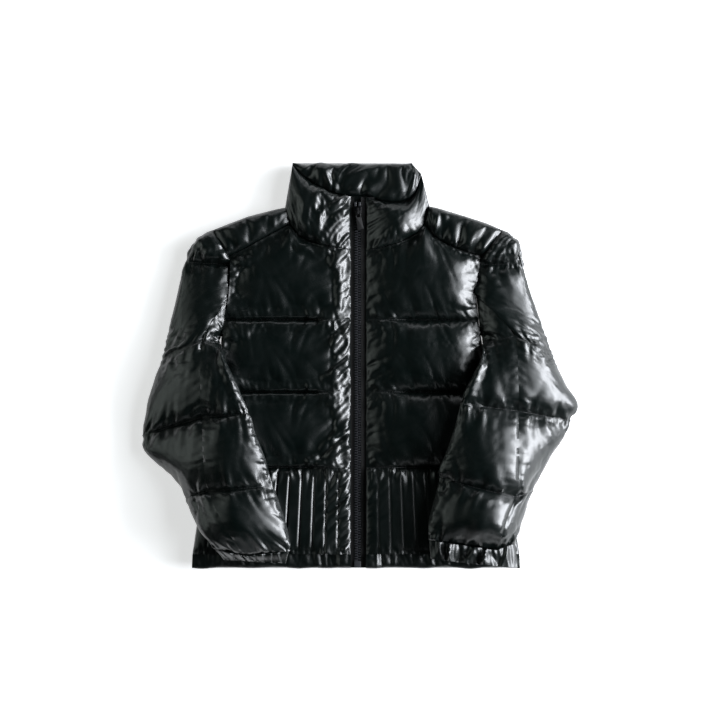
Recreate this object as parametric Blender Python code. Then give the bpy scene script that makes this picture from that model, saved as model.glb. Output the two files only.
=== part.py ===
"""Cropped puffer jacket laid flat on its back: zip closed, both sleeves folded down over the fronts.

+X runs to the wearer's left, +Y from the hem to the collar, +Z up from the surface it lies on.
Every wall starts as a flat grid that is given a thickness; its points are then set to the wall's
plain inside and to its padded outside. Sizes are in millimetres and turned to metres on the mesh.
"""

import math
from collections import namedtuple

import bmesh
import bpy
import numpy as np

MM = 0.001
SEAM = 0.3  # gap that neighbouring pieces keep along a seam
HALF_SEAM = SEAM / 2

# Heights above the surface
INSIDE_Z = 20.0  # plane where the back meets the fronts
FRONT_Z = INSIDE_Z + SEAM  # plain inside of the fronts
SEAM_WALL = 3.2  # thickness of a wall where it is stitched flat
CHAMBER_WALL = 28.0  # thickness of a full front chamber
BAND_WALL = 17.0  # thickness of the upright channels above the hem
HEM_WALL = 8.0
YOKE_WALL = 21.0
COLLAR_WALL = 30.0
COLLAR_PUFF = 15.0  # how far the back of the collar stands up above the front halves' edge
COLLAR_CLEAR = 1.2
SLEEVE_TOP_WALL = 24.0
SLEEVE_UNDER_WALL = 19.4
SLEEVE_SLIT = 1.2  # height of the flattened space inside a sleeve
CUFF_WALL = 7.0

# Heights along the body, from the hem up
HEM_Y = -332.0
HEM_SEAM_Y = -309.0
BAND_SEAM_Y = -166.0
LOWER_QUILT_Y = -42.0
UPPER_QUILT_Y = 77.0
YOKE_SIDE_Y = 181.0
SHOULDER_SIDE_Y = 225.0
BACK_NECK_Y = 245.0

# Zip
ZIP_X = -5.0
RIGHT_EDGE_X = -16.0  # stitched edge of the right front
LEFT_EDGE_X = 9.0  # stitched edge of the left front
TAPE_UNDER = 14.0  # how far a tape runs under the front's edge
TAPE_CLEAR = 18.0  # the front stays lifted over the tape up to here
TAPE_LIFT_END = 25.0  # distance from the edge where the front lies flat again
TAPE_COLUMN = 0.068  # share of a front's width where its band and hem have a column past the tape
TAPE_Z = 24.2
TAPE_THICK = 1.3
CHAIN_HALF = 5.0
CHAIN_LOW, CHAIN_HIGH = 22.4, 27.6
ZIP_TOP_Y = 279.0
SLIDER_LOW_Y, SLIDER_HIGH_Y = 247.0, 263.0
SLIDER_HALF_LOW, SLIDER_HALF_HIGH = 5.6, 6.6
PULL_LENGTH = 30.0
PULL_LEAN = math.radians(10.0)
PULL_DROP = math.radians(3.0)
PULL_THICK = 2.0

SidePoint = namedtuple("SidePoint", "y right left")
# Side seam up to the underarm, then the armhole up to the shoulder
BODY_SIDE = (
    SidePoint(y=-332, right=-278, left=263),
    SidePoint(y=-309, right=-277, left=262),
    SidePoint(y=-166, right=-256, left=240),
    SidePoint(y=-42, right=-240, left=215),
    SidePoint(y=52, right=-229, left=198),
    SidePoint(y=77, right=-224, left=195),
    SidePoint(y=116, right=-217, left=191),
    SidePoint(y=140, right=-215, left=193),
    SidePoint(y=168, right=-214.5, left=196),
    SidePoint(y=181, right=-217, left=200),
    SidePoint(y=204, right=-229, left=214),
    SidePoint(y=225, right=-243, left=233),
)
UNDERARM_Y = 52.0

NeckPoint = namedtuple("NeckPoint", "seam_x seam_y top_x top_y")
# Collar front: its seam to the front below, and its top edge above, from the zip to the side
NECK = {
    "right": (
        NeckPoint(-16, 192, -16, 280),
        NeckPoint(-20, 192, -20, 280),
        NeckPoint(-31, 193, -31, 281),
        NeckPoint(-40, 194, -38, 283),
        NeckPoint(-60, 198, -54, 288),
        NeckPoint(-81, 204, -70, 296),
        NeckPoint(-101, 214, -87, 307),
        NeckPoint(-117, 233, -101, 319),
        NeckPoint(-125, 256, -112, 332),
    ),
    "left": (
        NeckPoint(9, 192, 9, 280),
        NeckPoint(13, 192, 13, 278),
        NeckPoint(24, 193, 24, 275),
        NeckPoint(38, 196, 35, 271),
        NeckPoint(60, 202, 50, 269),
        NeckPoint(80, 211, 66, 270),
        NeckPoint(95, 220, 80, 274),
        NeckPoint(106, 233, 92, 287),
        NeckPoint(115, 258, 101, 314),
    ),
}
YokePoint = namedtuple("YokePoint", "seam_x seam_y top_x top_y")
# Yoke: its seam to the front, and the shoulder line, from the neck to the armhole
YOKE = {
    "right": (
        YokePoint(-117, 233, -129, 262),
        YokePoint(-141, 221, -152, 256),
        YokePoint(-163, 209, -186, 247),
        YokePoint(-192, 193, -220, 234),
        YokePoint(-217, 181, -243, 225),
    ),
    "left": (
        YokePoint(106, 233, 119, 264),
        YokePoint(121, 213, 135, 259),
        YokePoint(143, 200, 171, 248),
        YokePoint(168, 190, 208, 236),
        YokePoint(200, 181, 233, 225),
    ),
}
TopPoint = namedtuple("TopPoint", "x y")
# Top edge of the back: shoulders and back neck
BACK_TOP = (
    TopPoint(-243, 225),
    TopPoint(-232, 229),
    TopPoint(-215, 236),
    TopPoint(-186, 247),
    TopPoint(-152, 256),
    TopPoint(-127.5, 262),
    TopPoint(-122, BACK_NECK_Y),
    TopPoint(-62, BACK_NECK_Y),
    TopPoint(-4, BACK_NECK_Y),
    TopPoint(54, BACK_NECK_Y),
    TopPoint(113, BACK_NECK_Y),
    TopPoint(119.5, 264),
    TopPoint(140, 257),
    TopPoint(171, 248),
    TopPoint(206, 236.5),
    TopPoint(222, 230),
    TopPoint(233, 225),
)
CollarSide = namedtuple("CollarSide", "y right left")
COLLAR_SIDE = (
    CollarSide(y=245, right=-119, left=110),
    CollarSide(y=262, right=-123, left=113.5),
    CollarSide(y=290, right=-119, left=107),
    CollarSide(y=318, right=-114.5, left=100),
    CollarSide(y=336, right=-112, left=84),
)

SleeveRow = namedtuple("SleeveRow", "name outer_x outer_y seam_x seam_y inner_x inner_y")
# Sleeve sections from the shoulder to the cuff: the outer fold, the long seam (the armhole in the
# first rows) and the inner fold. The inner half starts at the row named "armhole".
SLEEVE = {
    "right": (
        SleeveRow("shoulder", -253, 222, -243, 225, None, None),
        SleeveRow("cap", -271, 209, -229, 204, None, None),
        SleeveRow("cap", -283, 192, -217, 181, None, None),
        SleeveRow("quilt", -289, 172, -214.5, 168, None, None),
        SleeveRow("upper", -299, 134, -215, 140, None, None),
        SleeveRow("armhole", -309, 93, -217, 116, -229, 52),
        SleeveRow("upper", -318, 54, -241, 78, -230.4, 46),
        SleeveRow("quilt", -327, 14, -260, 43, -231.5, 38),
        SleeveRow("above elbow", -339, -20, -261, 7, -219, 8),
        SleeveRow("above elbow", -350, -53, -261, -26, -203, -25),
        SleeveRow("above elbow", -356, -88, -261, -57, -191, -53),
        SleeveRow("quilt", -360, -114, -260, -83, -182, -76),
        SleeveRow("elbow", -357, -138, -258, -113, -171, -107),
        SleeveRow("below elbow", -336, -160, -257, -142, -160, -136),
        SleeveRow("below elbow", -308, -185, -254, -171, -151, -163),
        SleeveRow("quilt", -288, -216, -248, -203, -143, -194),
        SleeveRow("forearm", -276, -245, -234, -234, -131, -228),
        SleeveRow("forearm", -260, -274, -214, -271, -119, -265),
        SleeveRow("cuff seam", -240, -297, -189, -308, -115, -301),
    ),
    "left": (
        SleeveRow("shoulder", 243, 222, 233, 225, None, None),
        SleeveRow("cap", 258, 209, 214, 204, None, None),
        SleeveRow("cap", 266, 192, 200, 181, None, None),
        SleeveRow("quilt", 270, 170, 196, 168, None, None),
        SleeveRow("upper", 278, 130, 193, 140, None, None),
        SleeveRow("armhole", 290, 96, 191, 116, 198, 52),
        SleeveRow("upper", 302, 60, 226, 82, 199.8, 46),
        SleeveRow("quilt", 316, 24, 252, 50, 201.4, 38),
        SleeveRow("above elbow", 328, -6, 256, 20, 197, 15),
        SleeveRow("above elbow", 340, -31, 257, -10, 184, -12),
        SleeveRow("elbow", 357, -62, 258, -42, 171, -38),
        SleeveRow("quilt", 347, -90, 259, -73, 162, -60),
        SleeveRow("below elbow", 337, -115, 258, -109, 152, -100),
        SleeveRow("below elbow", 316, -146, 258, -145, 141, -134),
        SleeveRow("below elbow", 298, -177, 257, -180, 132, -159),
        SleeveRow("quilt", 285, -206, 253, -213, 128, -182),
        SleeveRow("forearm", 273, -234, 241, -241, 121, -214),
        SleeveRow("forearm", 263, -262, 230, -271, 113, -250),
        SleeveRow("cuff seam", 255, -288, 222, -299, 110, -283),
    ),
}
SLEEVE_FOLD_ROUND = 45.0  # how far in from a fold the sleeve reaches its full thickness
SLEEVE_UNDER_ROUND = 34.0  # the same on the side that lies down
SLEEVE_FOLD_WALL = 14.0  # width of the wall at a fold
ARMHOLE_ROUND = 38.0
LIFT_RUN = 48.0  # how far outside the body a sleeve bends down to the surface

CuffEnd = namedtuple("CuffEnd", "outer_x outer_y inner_x inner_y drop")
CUFF_END = {
    "right": CuffEnd(-226, -316, -121, -322, 10),
    "left": CuffEnd(247, -315, 114, -307, 3),
}
CUFF_WAVES = 9
CUFF_HALF = (0.455, 0.48)  # inner and outer half width of a cuff, as a share of the sleeve's end
CUFF_START = 0.8  # distance from the sleeve's last row to the cuff
HEM_WAVES = 20
CHANNELS = 12  # upright padded channels in each front's band

Finish = namedtuple("Finish", "name colour roughness metallic")
NYLON = Finish("Black lacquered nylon", (0.012, 0.014, 0.014), 0.28, 0.0)
BINDING = Finish("Black elastic binding", (0.010, 0.011, 0.012), 0.55, 0.0)
TAPE = Finish("Black zip tape", (0.020, 0.020, 0.023), 0.75, 0.0)
RESIN = Finish("Black moulded resin", (0.018, 0.018, 0.020), 0.35, 0.0)
ENAMEL = Finish("Black enamelled zinc", (0.015, 0.015, 0.017), 0.30, 0.6)
RUBBER = Finish("Black moulded rubber", (0.013, 0.013, 0.014), 0.60, 0.0)


# ---------------------------------------------------------------- shapes of edges and chambers

def bulge(fraction, power=2.4):
    """0 at both ends of a chamber and 1 in its middle, with full shoulders."""
    spread = np.abs(2.0 * np.clip(fraction, 0.0, 1.0) - 1.0)
    return np.sqrt(np.clip(1.0 - spread ** power, 0.0, 1.0))


def rounded(distance, radius):
    """Quarter ellipse: 0 at an edge and 1 from the radius inwards."""
    depth = 1.0 - np.clip(distance / radius, 0.0, 1.0)
    return np.sqrt(np.clip(1.0 - depth * depth, 0.0, 1.0))


def eased(value):
    """Smooth step from 0 to 1."""
    clipped = np.clip(value, 0.0, 1.0)
    return clipped * clipped * (3.0 - 2.0 * clipped)


def body_side(side, y):
    """X of the body's side seam or armhole at a height y."""
    return np.interp(y, [p.y for p in BODY_SIDE], [getattr(p, side) for p in BODY_SIDE])


def front_inside(distance):
    """Inner height of a front: lifted where the zip tape lies under its edge."""
    lift = TAPE_Z + TAPE_THICK + SEAM - FRONT_Z
    share = (TAPE_LIFT_END - distance) / (TAPE_LIFT_END - TAPE_CLEAR)
    return FRONT_Z + lift * np.clip(share, 0.0, 1.0)


def chamber_fraction(y, seams):
    """Where y lies between the two seams around it, from 0 to 1."""
    index = np.clip(np.searchsorted(seams, y, side="right") - 1, 0, len(seams) - 2)
    low = np.asarray(seams)[index]
    high = np.asarray(seams)[index + 1]
    return (y - low) / (high - low)


# ---------------------------------------------------------------- making pieces

def material(finish):
    """Principled material of a finish, made once."""
    found = bpy.data.materials.get(finish.name)
    if found:
        return found
    made = bpy.data.materials.new(finish.name)
    made.use_nodes = True
    shader = made.node_tree.nodes["Principled BSDF"]
    shader.inputs["Base Color"].default_value = (*finish.colour, 1.0)
    shader.inputs["Roughness"].default_value = finish.roughness
    shader.inputs["Metallic"].default_value = finish.metallic
    return made


def add_object(name, mesh_data, finish):
    """Link a finished mesh as a named piece of the jacket."""
    piece = bpy.data.objects.new(name, mesh_data)
    piece.data.materials.append(material(finish))
    JACKET.objects.link(piece)
    return piece


def face_outwards(shape):
    """Turn every face of a closed bmesh outwards."""
    bmesh.ops.recalc_face_normals(shape, faces=shape.faces[:])
    if shape.calc_volume(signed=True) < 0.0:
        bmesh.ops.reverse_faces(shape, faces=shape.faces[:])


def wall(name, inner, outer, finish=NYLON):
    """Closed wall between two grids of points (columns, rows, 3), in millimetres."""
    columns, rows = outer.shape[:2]
    sheet = bmesh.new()
    bmesh.ops.create_grid(sheet, x_segments=columns - 1, y_segments=rows - 1, size=0.5)
    bmesh.ops.solidify(sheet, geom=sheet.faces[:], thickness=1.0)
    levels = sorted({round(v.co.z, 3) for v in sheet.verts})
    for vert in sheet.verts:
        column = round((vert.co.x + 0.5) * (columns - 1))
        row = round((vert.co.y + 0.5) * (rows - 1))
        grid = outer if round(vert.co.z, 3) == levels[-1] else inner
        vert.co = [float(c) * MM for c in grid[column, row]]
    face_outwards(sheet)
    data = bpy.data.meshes.new(name)
    sheet.to_mesh(data)
    sheet.free()
    data.shade_smooth()
    data.set_sharp_from_angle(angle=math.radians(50))
    return add_object(name, data, finish)


def grid_points(x, y, z):
    """Stack three grids into points."""
    x, y, z = np.broadcast_arrays(x, y, z)
    return np.stack([x, y, z], axis=-1).astype(float)


def box(name, low, high, finish):
    """Axis-aligned block with slightly rounded edges."""
    block = bmesh.new()
    bmesh.ops.create_cube(block, size=1.0)
    for vert in block.verts:
        vert.co = [(lo + (c + 0.5) * (hi - lo)) * MM for c, lo, hi in zip(vert.co, low, high)]
    bmesh.ops.bevel(block, geom=block.edges[:], offset=0.5 * MM, segments=1, profile=0.5,
                    affect="EDGES", material=-1)
    data = bpy.data.meshes.new(name)
    block.to_mesh(data)
    block.free()
    return add_object(name, data, finish)


# ---------------------------------------------------------------- body

def rows_at(*heights):
    """Rows of a grid at these heights along the body."""
    return np.array(heights, dtype=float)


FRONT_ROWS = rows_at(-166, -156, -130, -78, -52, -42, -32, -8, 27, 52, 67, 77)
ARMHOLE_ROWS = rows_at(77, 88, 116, 140, 168, 181)
YOKE_ROWS = rows_at(181, 204, 225)
CHAMBER_SEAMS = (BAND_SEAM_Y, LOWER_QUILT_Y, UPPER_QUILT_Y)


def front(side):
    """One front: three quilted chambers from the hem band to the yoke and the neck."""
    edge_x = RIGHT_EDGE_X if side == "right" else LEFT_EDGE_X
    top = [(p.seam_x, p.seam_y) for p in NECK[side][:-1]]
    top += [(p.seam_x, p.seam_y) for p in YOKE[side][1:]]
    top_x = np.array([p[0] for p in top], dtype=float)[:, None]
    top_y = np.array([p[1] for p in top], dtype=float)[:, None] - HALF_SEAM * 1.3
    share = (top_x - edge_x) / (top_x[-1] - edge_x)

    low_y = FRONT_ROWS[None, :-1] + np.where(FRONT_ROWS[None, :-1] == BAND_SEAM_Y, HALF_SEAM, 0.0)
    side_x = body_side(side, low_y)
    low_x = edge_x + share * (side_x - edge_x)
    climb = (ARMHOLE_ROWS[None, :] - UPPER_QUILT_Y) / (YOKE_SIDE_Y - UPPER_QUILT_Y)
    high_y = UPPER_QUILT_Y + climb * (top_y - UPPER_QUILT_Y)
    high_x = edge_x + share * (body_side(side, ARMHOLE_ROWS[None, :]) - edge_x)

    x = np.concatenate([low_x, high_x], axis=1)
    y = np.concatenate([np.broadcast_to(low_y, low_x.shape), high_y], axis=1)
    fraction = np.concatenate([
        np.broadcast_to(chamber_fraction(FRONT_ROWS[None, :-1], CHAMBER_SEAMS), low_x.shape),
        np.broadcast_to(climb, high_x.shape)], axis=1)
    side_line = body_side(side, np.minimum(y, YOKE_SIDE_Y))
    x = x - np.sign(side_line) * HALF_SEAM * share
    from_edge = np.abs(x - edge_x)
    from_side = np.abs(side_line - x)
    padding = bulge(fraction) * rounded(from_edge + 1.5, 40.0) * rounded(from_side, 46.0)
    inside = front_inside(from_edge)
    outside = inside + SEAM_WALL + (CHAMBER_WALL - SEAM_WALL) * padding
    wall(f"front_{side}", grid_points(x, y, inside), grid_points(x, y, outside))


def band(side):
    """Band above the hem, with upright padded channels of one width."""
    edge_x = RIGHT_EDGE_X if side == "right" else LEFT_EDGE_X
    share = np.insert(np.linspace(0.0, 1.0, 2 * CHANNELS + 1), 2, TAPE_COLUMN)[:, None]
    rows = rows_at(HEM_SEAM_Y + HALF_SEAM, -300, -285, -190, -175, BAND_SEAM_Y - HALF_SEAM)
    y = rows[None, :]
    x = edge_x + share * (body_side(side, y) - edge_x)
    from_edge = np.abs(x - edge_x)
    from_side = np.abs(body_side(side, y) - x)
    channel = np.abs(np.sin(math.pi * CHANNELS * share))
    fraction = (y - HEM_SEAM_Y) / (BAND_SEAM_Y - HEM_SEAM_Y)
    padding = (0.45 + 0.55 * channel) * bulge(fraction, 6.0)
    padding = padding * rounded(from_edge + 4.0, 24.0) * rounded(from_side, 46.0)
    inside = front_inside(from_edge)
    outside = inside + SEAM_WALL + (BAND_WALL - SEAM_WALL) * padding
    wall(f"band_{side}", grid_points(x, y, inside), grid_points(x, y, outside))


def hem(side):
    """Bound hem of one front, gathered in waves by its elastic."""
    edge_x = RIGHT_EDGE_X if side == "right" else LEFT_EDGE_X
    share = np.insert(np.linspace(0.0, 1.0, 2 * HEM_WAVES + 1), 3, TAPE_COLUMN)[:, None]
    y = rows_at(HEM_Y, -328, -319, -312, HEM_SEAM_Y - HALF_SEAM)[None, :]
    x = edge_x + share * (body_side(side, y) - edge_x)
    from_edge = np.abs(x - edge_x)
    from_side = np.abs(body_side(side, y) - x)
    gather = 0.5 - 0.5 * np.cos(2.0 * math.pi * HEM_WAVES * share)
    fraction = (y - HEM_Y) / (HEM_SEAM_Y - HEM_Y)
    padding = (0.35 + 0.65 * gather) * bulge(fraction) * rounded(from_side + 3.0, 24.0)
    inside = front_inside(from_edge)
    outside = inside + 2.4 + (HEM_WALL - 2.4) * padding
    wall(f"hem_{side}", grid_points(x, y, inside), grid_points(x, y, outside), BINDING)


def back_share(x):
    """Columns across the back, from the right side to the left."""
    return (x - BACK_TOP[0].x) / (BACK_TOP[-1].x - BACK_TOP[0].x)


def underside(from_side, padding=1.0):
    """Height of the back's outside: flat on the surface, turned up to the seam at its edges."""
    return (INSIDE_Z - SEAM_WALL) * (1.0 - rounded(from_side, 40.0) * padding)


def back():
    """Back panel: flat where it rests, with shallow grooves along its quilting."""
    top_x = np.array([p.x for p in BACK_TOP], dtype=float)[:, None]
    top_y = np.array([p.y for p in BACK_TOP], dtype=float)[:, None] - HALF_SEAM
    share = back_share(top_x)
    low_y = FRONT_ROWS[None, :-1] + np.where(FRONT_ROWS[None, :-1] == BAND_SEAM_Y, HALF_SEAM, 0.0)
    side_rows = rows_at(77, 88, 116, 140, 168, 181, 204, 216, 225)[None, :]
    climb = (side_rows - UPPER_QUILT_Y) / (SHOULDER_SIDE_Y - UPPER_QUILT_Y)
    high_y = UPPER_QUILT_Y + climb * (top_y - UPPER_QUILT_Y)

    def across(y_side):
        right = body_side("right", y_side) + HALF_SEAM
        left = body_side("left", y_side) - HALF_SEAM
        return right + share * (left - right), right, left

    low_x, low_right, low_left = across(low_y)
    high_x, high_right, high_left = across(side_rows)
    x = np.concatenate([low_x, high_x], axis=1)
    y = np.concatenate([np.broadcast_to(low_y, low_x.shape), high_y], axis=1)
    right = np.concatenate([low_right, high_right], axis=1)
    left = np.concatenate([low_left, high_left], axis=1)
    from_side = np.minimum(x - right, left - x)
    nearest = np.min([np.abs(y - seam) for seam in CHAMBER_SEAMS], axis=0)
    groove = 0.32 * (1.0 - eased(nearest / 11.0))
    from_top = top_y - y
    padding = (1.0 - groove) * rounded(from_top + 2.0, 34.0)
    outside = underside(from_side, padding)
    wall("back", grid_points(x, y, INSIDE_Z), grid_points(x, y, outside))


def back_strip(name, rows, padding, finish):
    """Band or hem of the back, one piece from side seam to side seam."""
    share = back_share(np.array([p.x for p in BACK_TOP], dtype=float))[:, None]
    y = rows[None, :]
    right, left = body_side("right", y), body_side("left", y)
    x = right + share * (left - right)
    from_side = np.minimum(x - right, left - x)
    outside = underside(from_side, padding[None, :])
    wall(name, grid_points(x, y, INSIDE_Z), grid_points(x, y, outside), finish)


def yoke(side):
    """Shoulder yoke, from its seam on the front up to the shoulder line."""
    points = YOKE[side]
    climb = ((YOKE_ROWS - YOKE_SIDE_Y) / (SHOULDER_SIDE_Y - YOKE_SIDE_Y))
    climb = np.insert(climb, [1, 2], [0.22, 0.82])[None, :]
    seam_x = np.array([p.seam_x for p in points], dtype=float)[:, None]
    seam_y = np.array([p.seam_y for p in points], dtype=float)[:, None] + HALF_SEAM * 1.3
    top_x = np.array([p.top_x for p in points], dtype=float)[:, None]
    top_y = np.array([p.top_y for p in points], dtype=float)[:, None]
    x = seam_x + climb * (top_x - seam_x)
    y = seam_y + climb * (top_y - seam_y)
    side_y = YOKE_SIDE_Y + climb * (SHOULDER_SIDE_Y - YOKE_SIDE_Y)
    x[-1] = body_side(side, side_y[0])
    inward = -np.sign(seam_x[0, 0])
    x[-1] += inward * HALF_SEAM
    x[0] -= inward * HALF_SEAM * 2.5
    along = np.linspace(0.0, 1.0, len(points))[:, None]
    padding = bulge(climb) * bulge(0.06 + 0.88 * along, 3.0)
    outside = FRONT_Z + SEAM_WALL + (YOKE_WALL - SEAM_WALL) * padding
    wall(f"yoke_{side}", grid_points(x, y, FRONT_Z), grid_points(x, y, outside))


# ---------------------------------------------------------------- collar

def collar_front(side):
    """Front half of the stand collar, padded, from the zip to the fold at its side."""
    points = NECK[side]
    climb = np.array([0.0, 0.08, 0.28, 0.55, 0.8, 0.94, 1.0])[None, :]
    seam_x = np.array([p.seam_x for p in points], dtype=float)[:, None]
    seam_y = np.array([p.seam_y for p in points], dtype=float)[:, None] + HALF_SEAM * 1.3
    top_x = np.array([p.top_x for p in points], dtype=float)[:, None]
    top_y = np.array([p.top_y for p in points], dtype=float)[:, None]
    x = seam_x + climb * (top_x - seam_x)
    y = seam_y + climb * (top_y - seam_y)
    edge_x = points[0].seam_x
    from_edge = np.abs(x - edge_x)
    along = from_edge / from_edge[-1:]
    from_side = (1.0 - along) * from_edge[-1:]
    padding = bulge(climb, 2.8) * rounded(from_edge + 1.5, 42.0) * rounded(from_side + 1.5, 46.0)
    inside = front_inside(from_edge)
    outside = inside + SEAM_WALL + (COLLAR_WALL - SEAM_WALL) * padding
    wall(f"collar_{side}", grid_points(x, y, inside), grid_points(x, y, outside))


def collar_back():
    """Back of the collar: flat below, padded where it shows above the front halves."""
    heights = [p.y for p in COLLAR_SIDE]
    rights = [p.right for p in COLLAR_SIDE]
    lefts = [p.left for p in COLLAR_SIDE]
    edge = [(p.top_x, p.top_y) for p in NECK["right"][::-1] + NECK["left"]]
    edge_x = np.array([p[0] for p in edge], dtype=float)
    edge_y = np.array([p[1] for p in edge], dtype=float)
    span = np.interp(edge_y, heights, lefts) - np.interp(edge_y, heights, rights)
    share = (edge_x - np.interp(edge_y, heights, rights)) / span
    share[0], share[-1] = 0.0, 1.0
    share, edge_y = share[:, None], edge_y[:, None] + COLLAR_CLEAR
    hidden = np.array([0.0, 0.35, 0.7, 1.0])[None, :]
    shown = np.array([0.12, 0.32, 0.56, 0.8, 0.93, 1.0])[None, :]
    neck_y = BACK_NECK_Y + HALF_SEAM
    top_y = heights[-1]
    y = np.concatenate([neck_y + hidden * (edge_y - neck_y), edge_y + shown * (top_y - edge_y)], axis=1)
    right = np.interp(y, heights, rights)
    left = np.interp(y, heights, lefts)
    x = right + share * (left - right)
    from_side = np.minimum(x - right, left - x)
    underneath = underside(from_side, rounded(top_y - y + 1.0, 34.0))
    above = np.concatenate([0.0 * hidden, shown], axis=1)
    size = np.minimum((top_y - edge_y) / 40.0, 1.0) * rounded(from_side, 20.0)
    crumple = 0.65 + 0.35 * np.cos(x / 13.0 + y / 21.0)
    top = INSIDE_Z + COLLAR_PUFF * bulge(above) * size * crumple
    wall("collar_back", grid_points(x, y, top), grid_points(x, y, underneath))


# ---------------------------------------------------------------- sleeves

def body_top(x, y):
    """Height that clears the fronts, eased down to the surface outside the body."""
    right = x < 0
    side_x = np.where(right, body_side("right", y), body_side("left", y))
    inside = np.where(right, x - side_x, side_x - x)
    full = np.interp(y, [-185, -140], [BAND_WALL, CHAMBER_WALL])
    over = FRONT_Z + SEAM_WALL + (full - SEAM_WALL) * rounded(inside, 40.0) + 1.6
    edge = (FRONT_Z + SEAM_WALL + 1.6) * eased(1.0 + np.minimum(inside, 0.0) / LIFT_RUN)
    return np.where(inside > 0, over, edge)


def sleeve_lift(x, y):
    """How far the body underneath raises the sleeve's flattened space."""
    return body_top(x, y) * eased((UNDERARM_Y + 4.0 - y) / 34.0)


def armhole_points(side):
    """The armhole's seam as a list of plan points."""
    return [(getattr(p, side), p.y) for p in BODY_SIDE if p.y >= UNDERARM_Y]


def from_armhole(side, x, y):
    """Distance in plan to the armhole's seam."""
    points = armhole_points(side)
    nearest = np.full(np.shape(x), 1e6)
    for (ax, ay), (bx, by) in zip(points[:-1], points[1:]):
        dx, dy = bx - ax, by - ay
        along = np.clip(((x - ax) * dx + (y - ay) * dy) / (dx * dx + dy * dy), 0.0, 1.0)
        nearest = np.minimum(nearest, np.hypot(x - ax - along * dx, y - ay - along * dy))
    return nearest


def row_padding(rows, first):
    """Share of full thickness along the sleeve, thin at each quilted row."""
    seams = [0] + [i for i, row in enumerate(rows) if row.name in ("quilt", "cuff seam")]
    index = np.arange(first, len(rows), dtype=float)
    return bulge(chamber_fraction(index, np.array(seams, dtype=float)), 2.2)


ACROSS = np.array([0.0, 0.1, 0.3, 0.6, 0.84, 0.95])  # columns from the long seam to a fold


def sleeve_half(side, part, first, fold):
    """Padded wall that wraps from the long seam on top round a fold to the seam beneath."""
    rows = SLEEVE[side]
    used = rows[first:]
    seam = np.array([(r.seam_x, r.seam_y) for r in used], dtype=float)[None, :, :]
    edge = np.array([(r.outer_x, r.outer_y) if fold == "outer" else (r.inner_x, r.inner_y)
                     for r in used], dtype=float)[None, :, :]
    across = edge - seam
    width = np.hypot(across[..., 0], across[..., 1])
    unit = across / width[..., None]
    seam = seam + unit * HALF_SEAM
    fold_wall = np.minimum(SLEEVE_FOLD_WALL, 0.3 * width)
    around = np.concatenate([ACROSS, [1.0], ACROSS[::-1]])
    on_top = np.concatenate([np.ones(len(ACROSS)), [0.0], -np.ones(len(ACROSS))])[:, None]
    outer_plan = seam + (edge - seam) * around[:, None, None]
    inner_end = edge - unit * fold_wall[..., None]
    inner_plan = seam + (inner_end - seam) * around[:, None, None]

    x, y = outer_plan[..., 0], outer_plan[..., 1]
    from_fold = (1.0 - around[:, None]) * width
    quilt = row_padding(rows, first)[None, :]
    hole = rounded(from_armhole(side, x, y), ARMHOLE_ROUND)
    turned = rounded(from_fold, np.minimum(SLEEVE_FOLD_ROUND, 0.7 * width))
    top_pad = (0.12 + 0.88 * quilt) * hole * turned
    under_pad = hole * rounded(from_fold, SLEEVE_UNDER_ROUND)
    lift = INSIDE_Z + HALF_SEAM + sleeve_lift(x, y)
    top_wall = np.maximum(SLEEVE_TOP_WALL * top_pad, SEAM_WALL * (around[:, None] < 1.0))
    under_wall = np.maximum(SLEEVE_UNDER_WALL * under_pad, SEAM_WALL * (around[:, None] < 1.0))
    half_slit = SLEEVE_SLIT / 2
    thickness = np.where(on_top > 0, half_slit + top_wall,
                         np.where(on_top < 0, -half_slit - under_wall, 0.0))
    outside = grid_points(x, y, np.maximum(lift + thickness, 0.0))
    inner_x, inner_y = inner_plan[..., 0], inner_plan[..., 1]
    inner_lift = INSIDE_Z + HALF_SEAM + sleeve_lift(inner_x, inner_y)
    inside = grid_points(inner_x, inner_y, inner_lift + half_slit * on_top)
    wall(f"sleeve_{side}_{part}", inside, outside)


def cuff(side):
    """Gathered cuff: a flattened ring, open at its seam by the seam gap."""
    last, end = SLEEVE[side][-1], CUFF_END[side]
    ring_gap = 0.02
    angle = np.linspace(ring_gap, 2.0 * math.pi - ring_gap, 4 * CUFF_WAVES + 1)[:, None]
    along = np.array([0.0, 0.12, 0.5, 0.88, 1.0])[None, :]
    bend = (last.seam_x - last.inner_x) / (last.outer_x - last.inner_x)
    half_turn = len(angle) // 2
    bend_angle = math.acos((0.5 - bend) / CUFF_HALF[1])
    at_bend = int(np.argmin(np.abs(angle[:half_turn, 0] - bend_angle)))
    bend_columns = [at_bend, len(angle) - 1 - at_bend]

    def plan(half):
        """Plan points of the flattened ring, whose first row follows the sleeve's bent last row."""
        across = 0.5 - half * np.cos(angle)
        across[bend_columns] = bend
        top_x = last.inner_x + across * (last.outer_x - last.inner_x)
        top_y = np.interp(across, [0.0, bend, 1.0], [last.inner_y, last.seam_y, last.outer_y])
        low_x = end.inner_x + across * (end.outer_x - end.inner_x)
        low_y = end.inner_y + across * (end.outer_y - end.inner_y)
        start_y = top_y - CUFF_START
        return top_x + along * (low_x - top_x), start_y + along * (low_y - start_y)

    wave = 0.5 + 0.5 * np.cos(2.0 * CUFF_WAVES * angle)
    fullness = 0.35 + 0.65 * bulge(0.08 + 0.84 * along)
    size = 2.2 + (CUFF_WALL - 2.2) * wave * fullness
    layers = []
    for half, height in zip(CUFF_HALF, (1.2, 1.2 + size)):
        x, y = plan(half)
        level = INSIDE_Z + sleeve_lift(x, y) - end.drop * eased(along)
        layers.append(grid_points(x, y, level + height * np.sin(angle)))
    wall(f"cuff_{side}", layers[0], layers[1], BINDING)


# ---------------------------------------------------------------- zip

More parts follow.
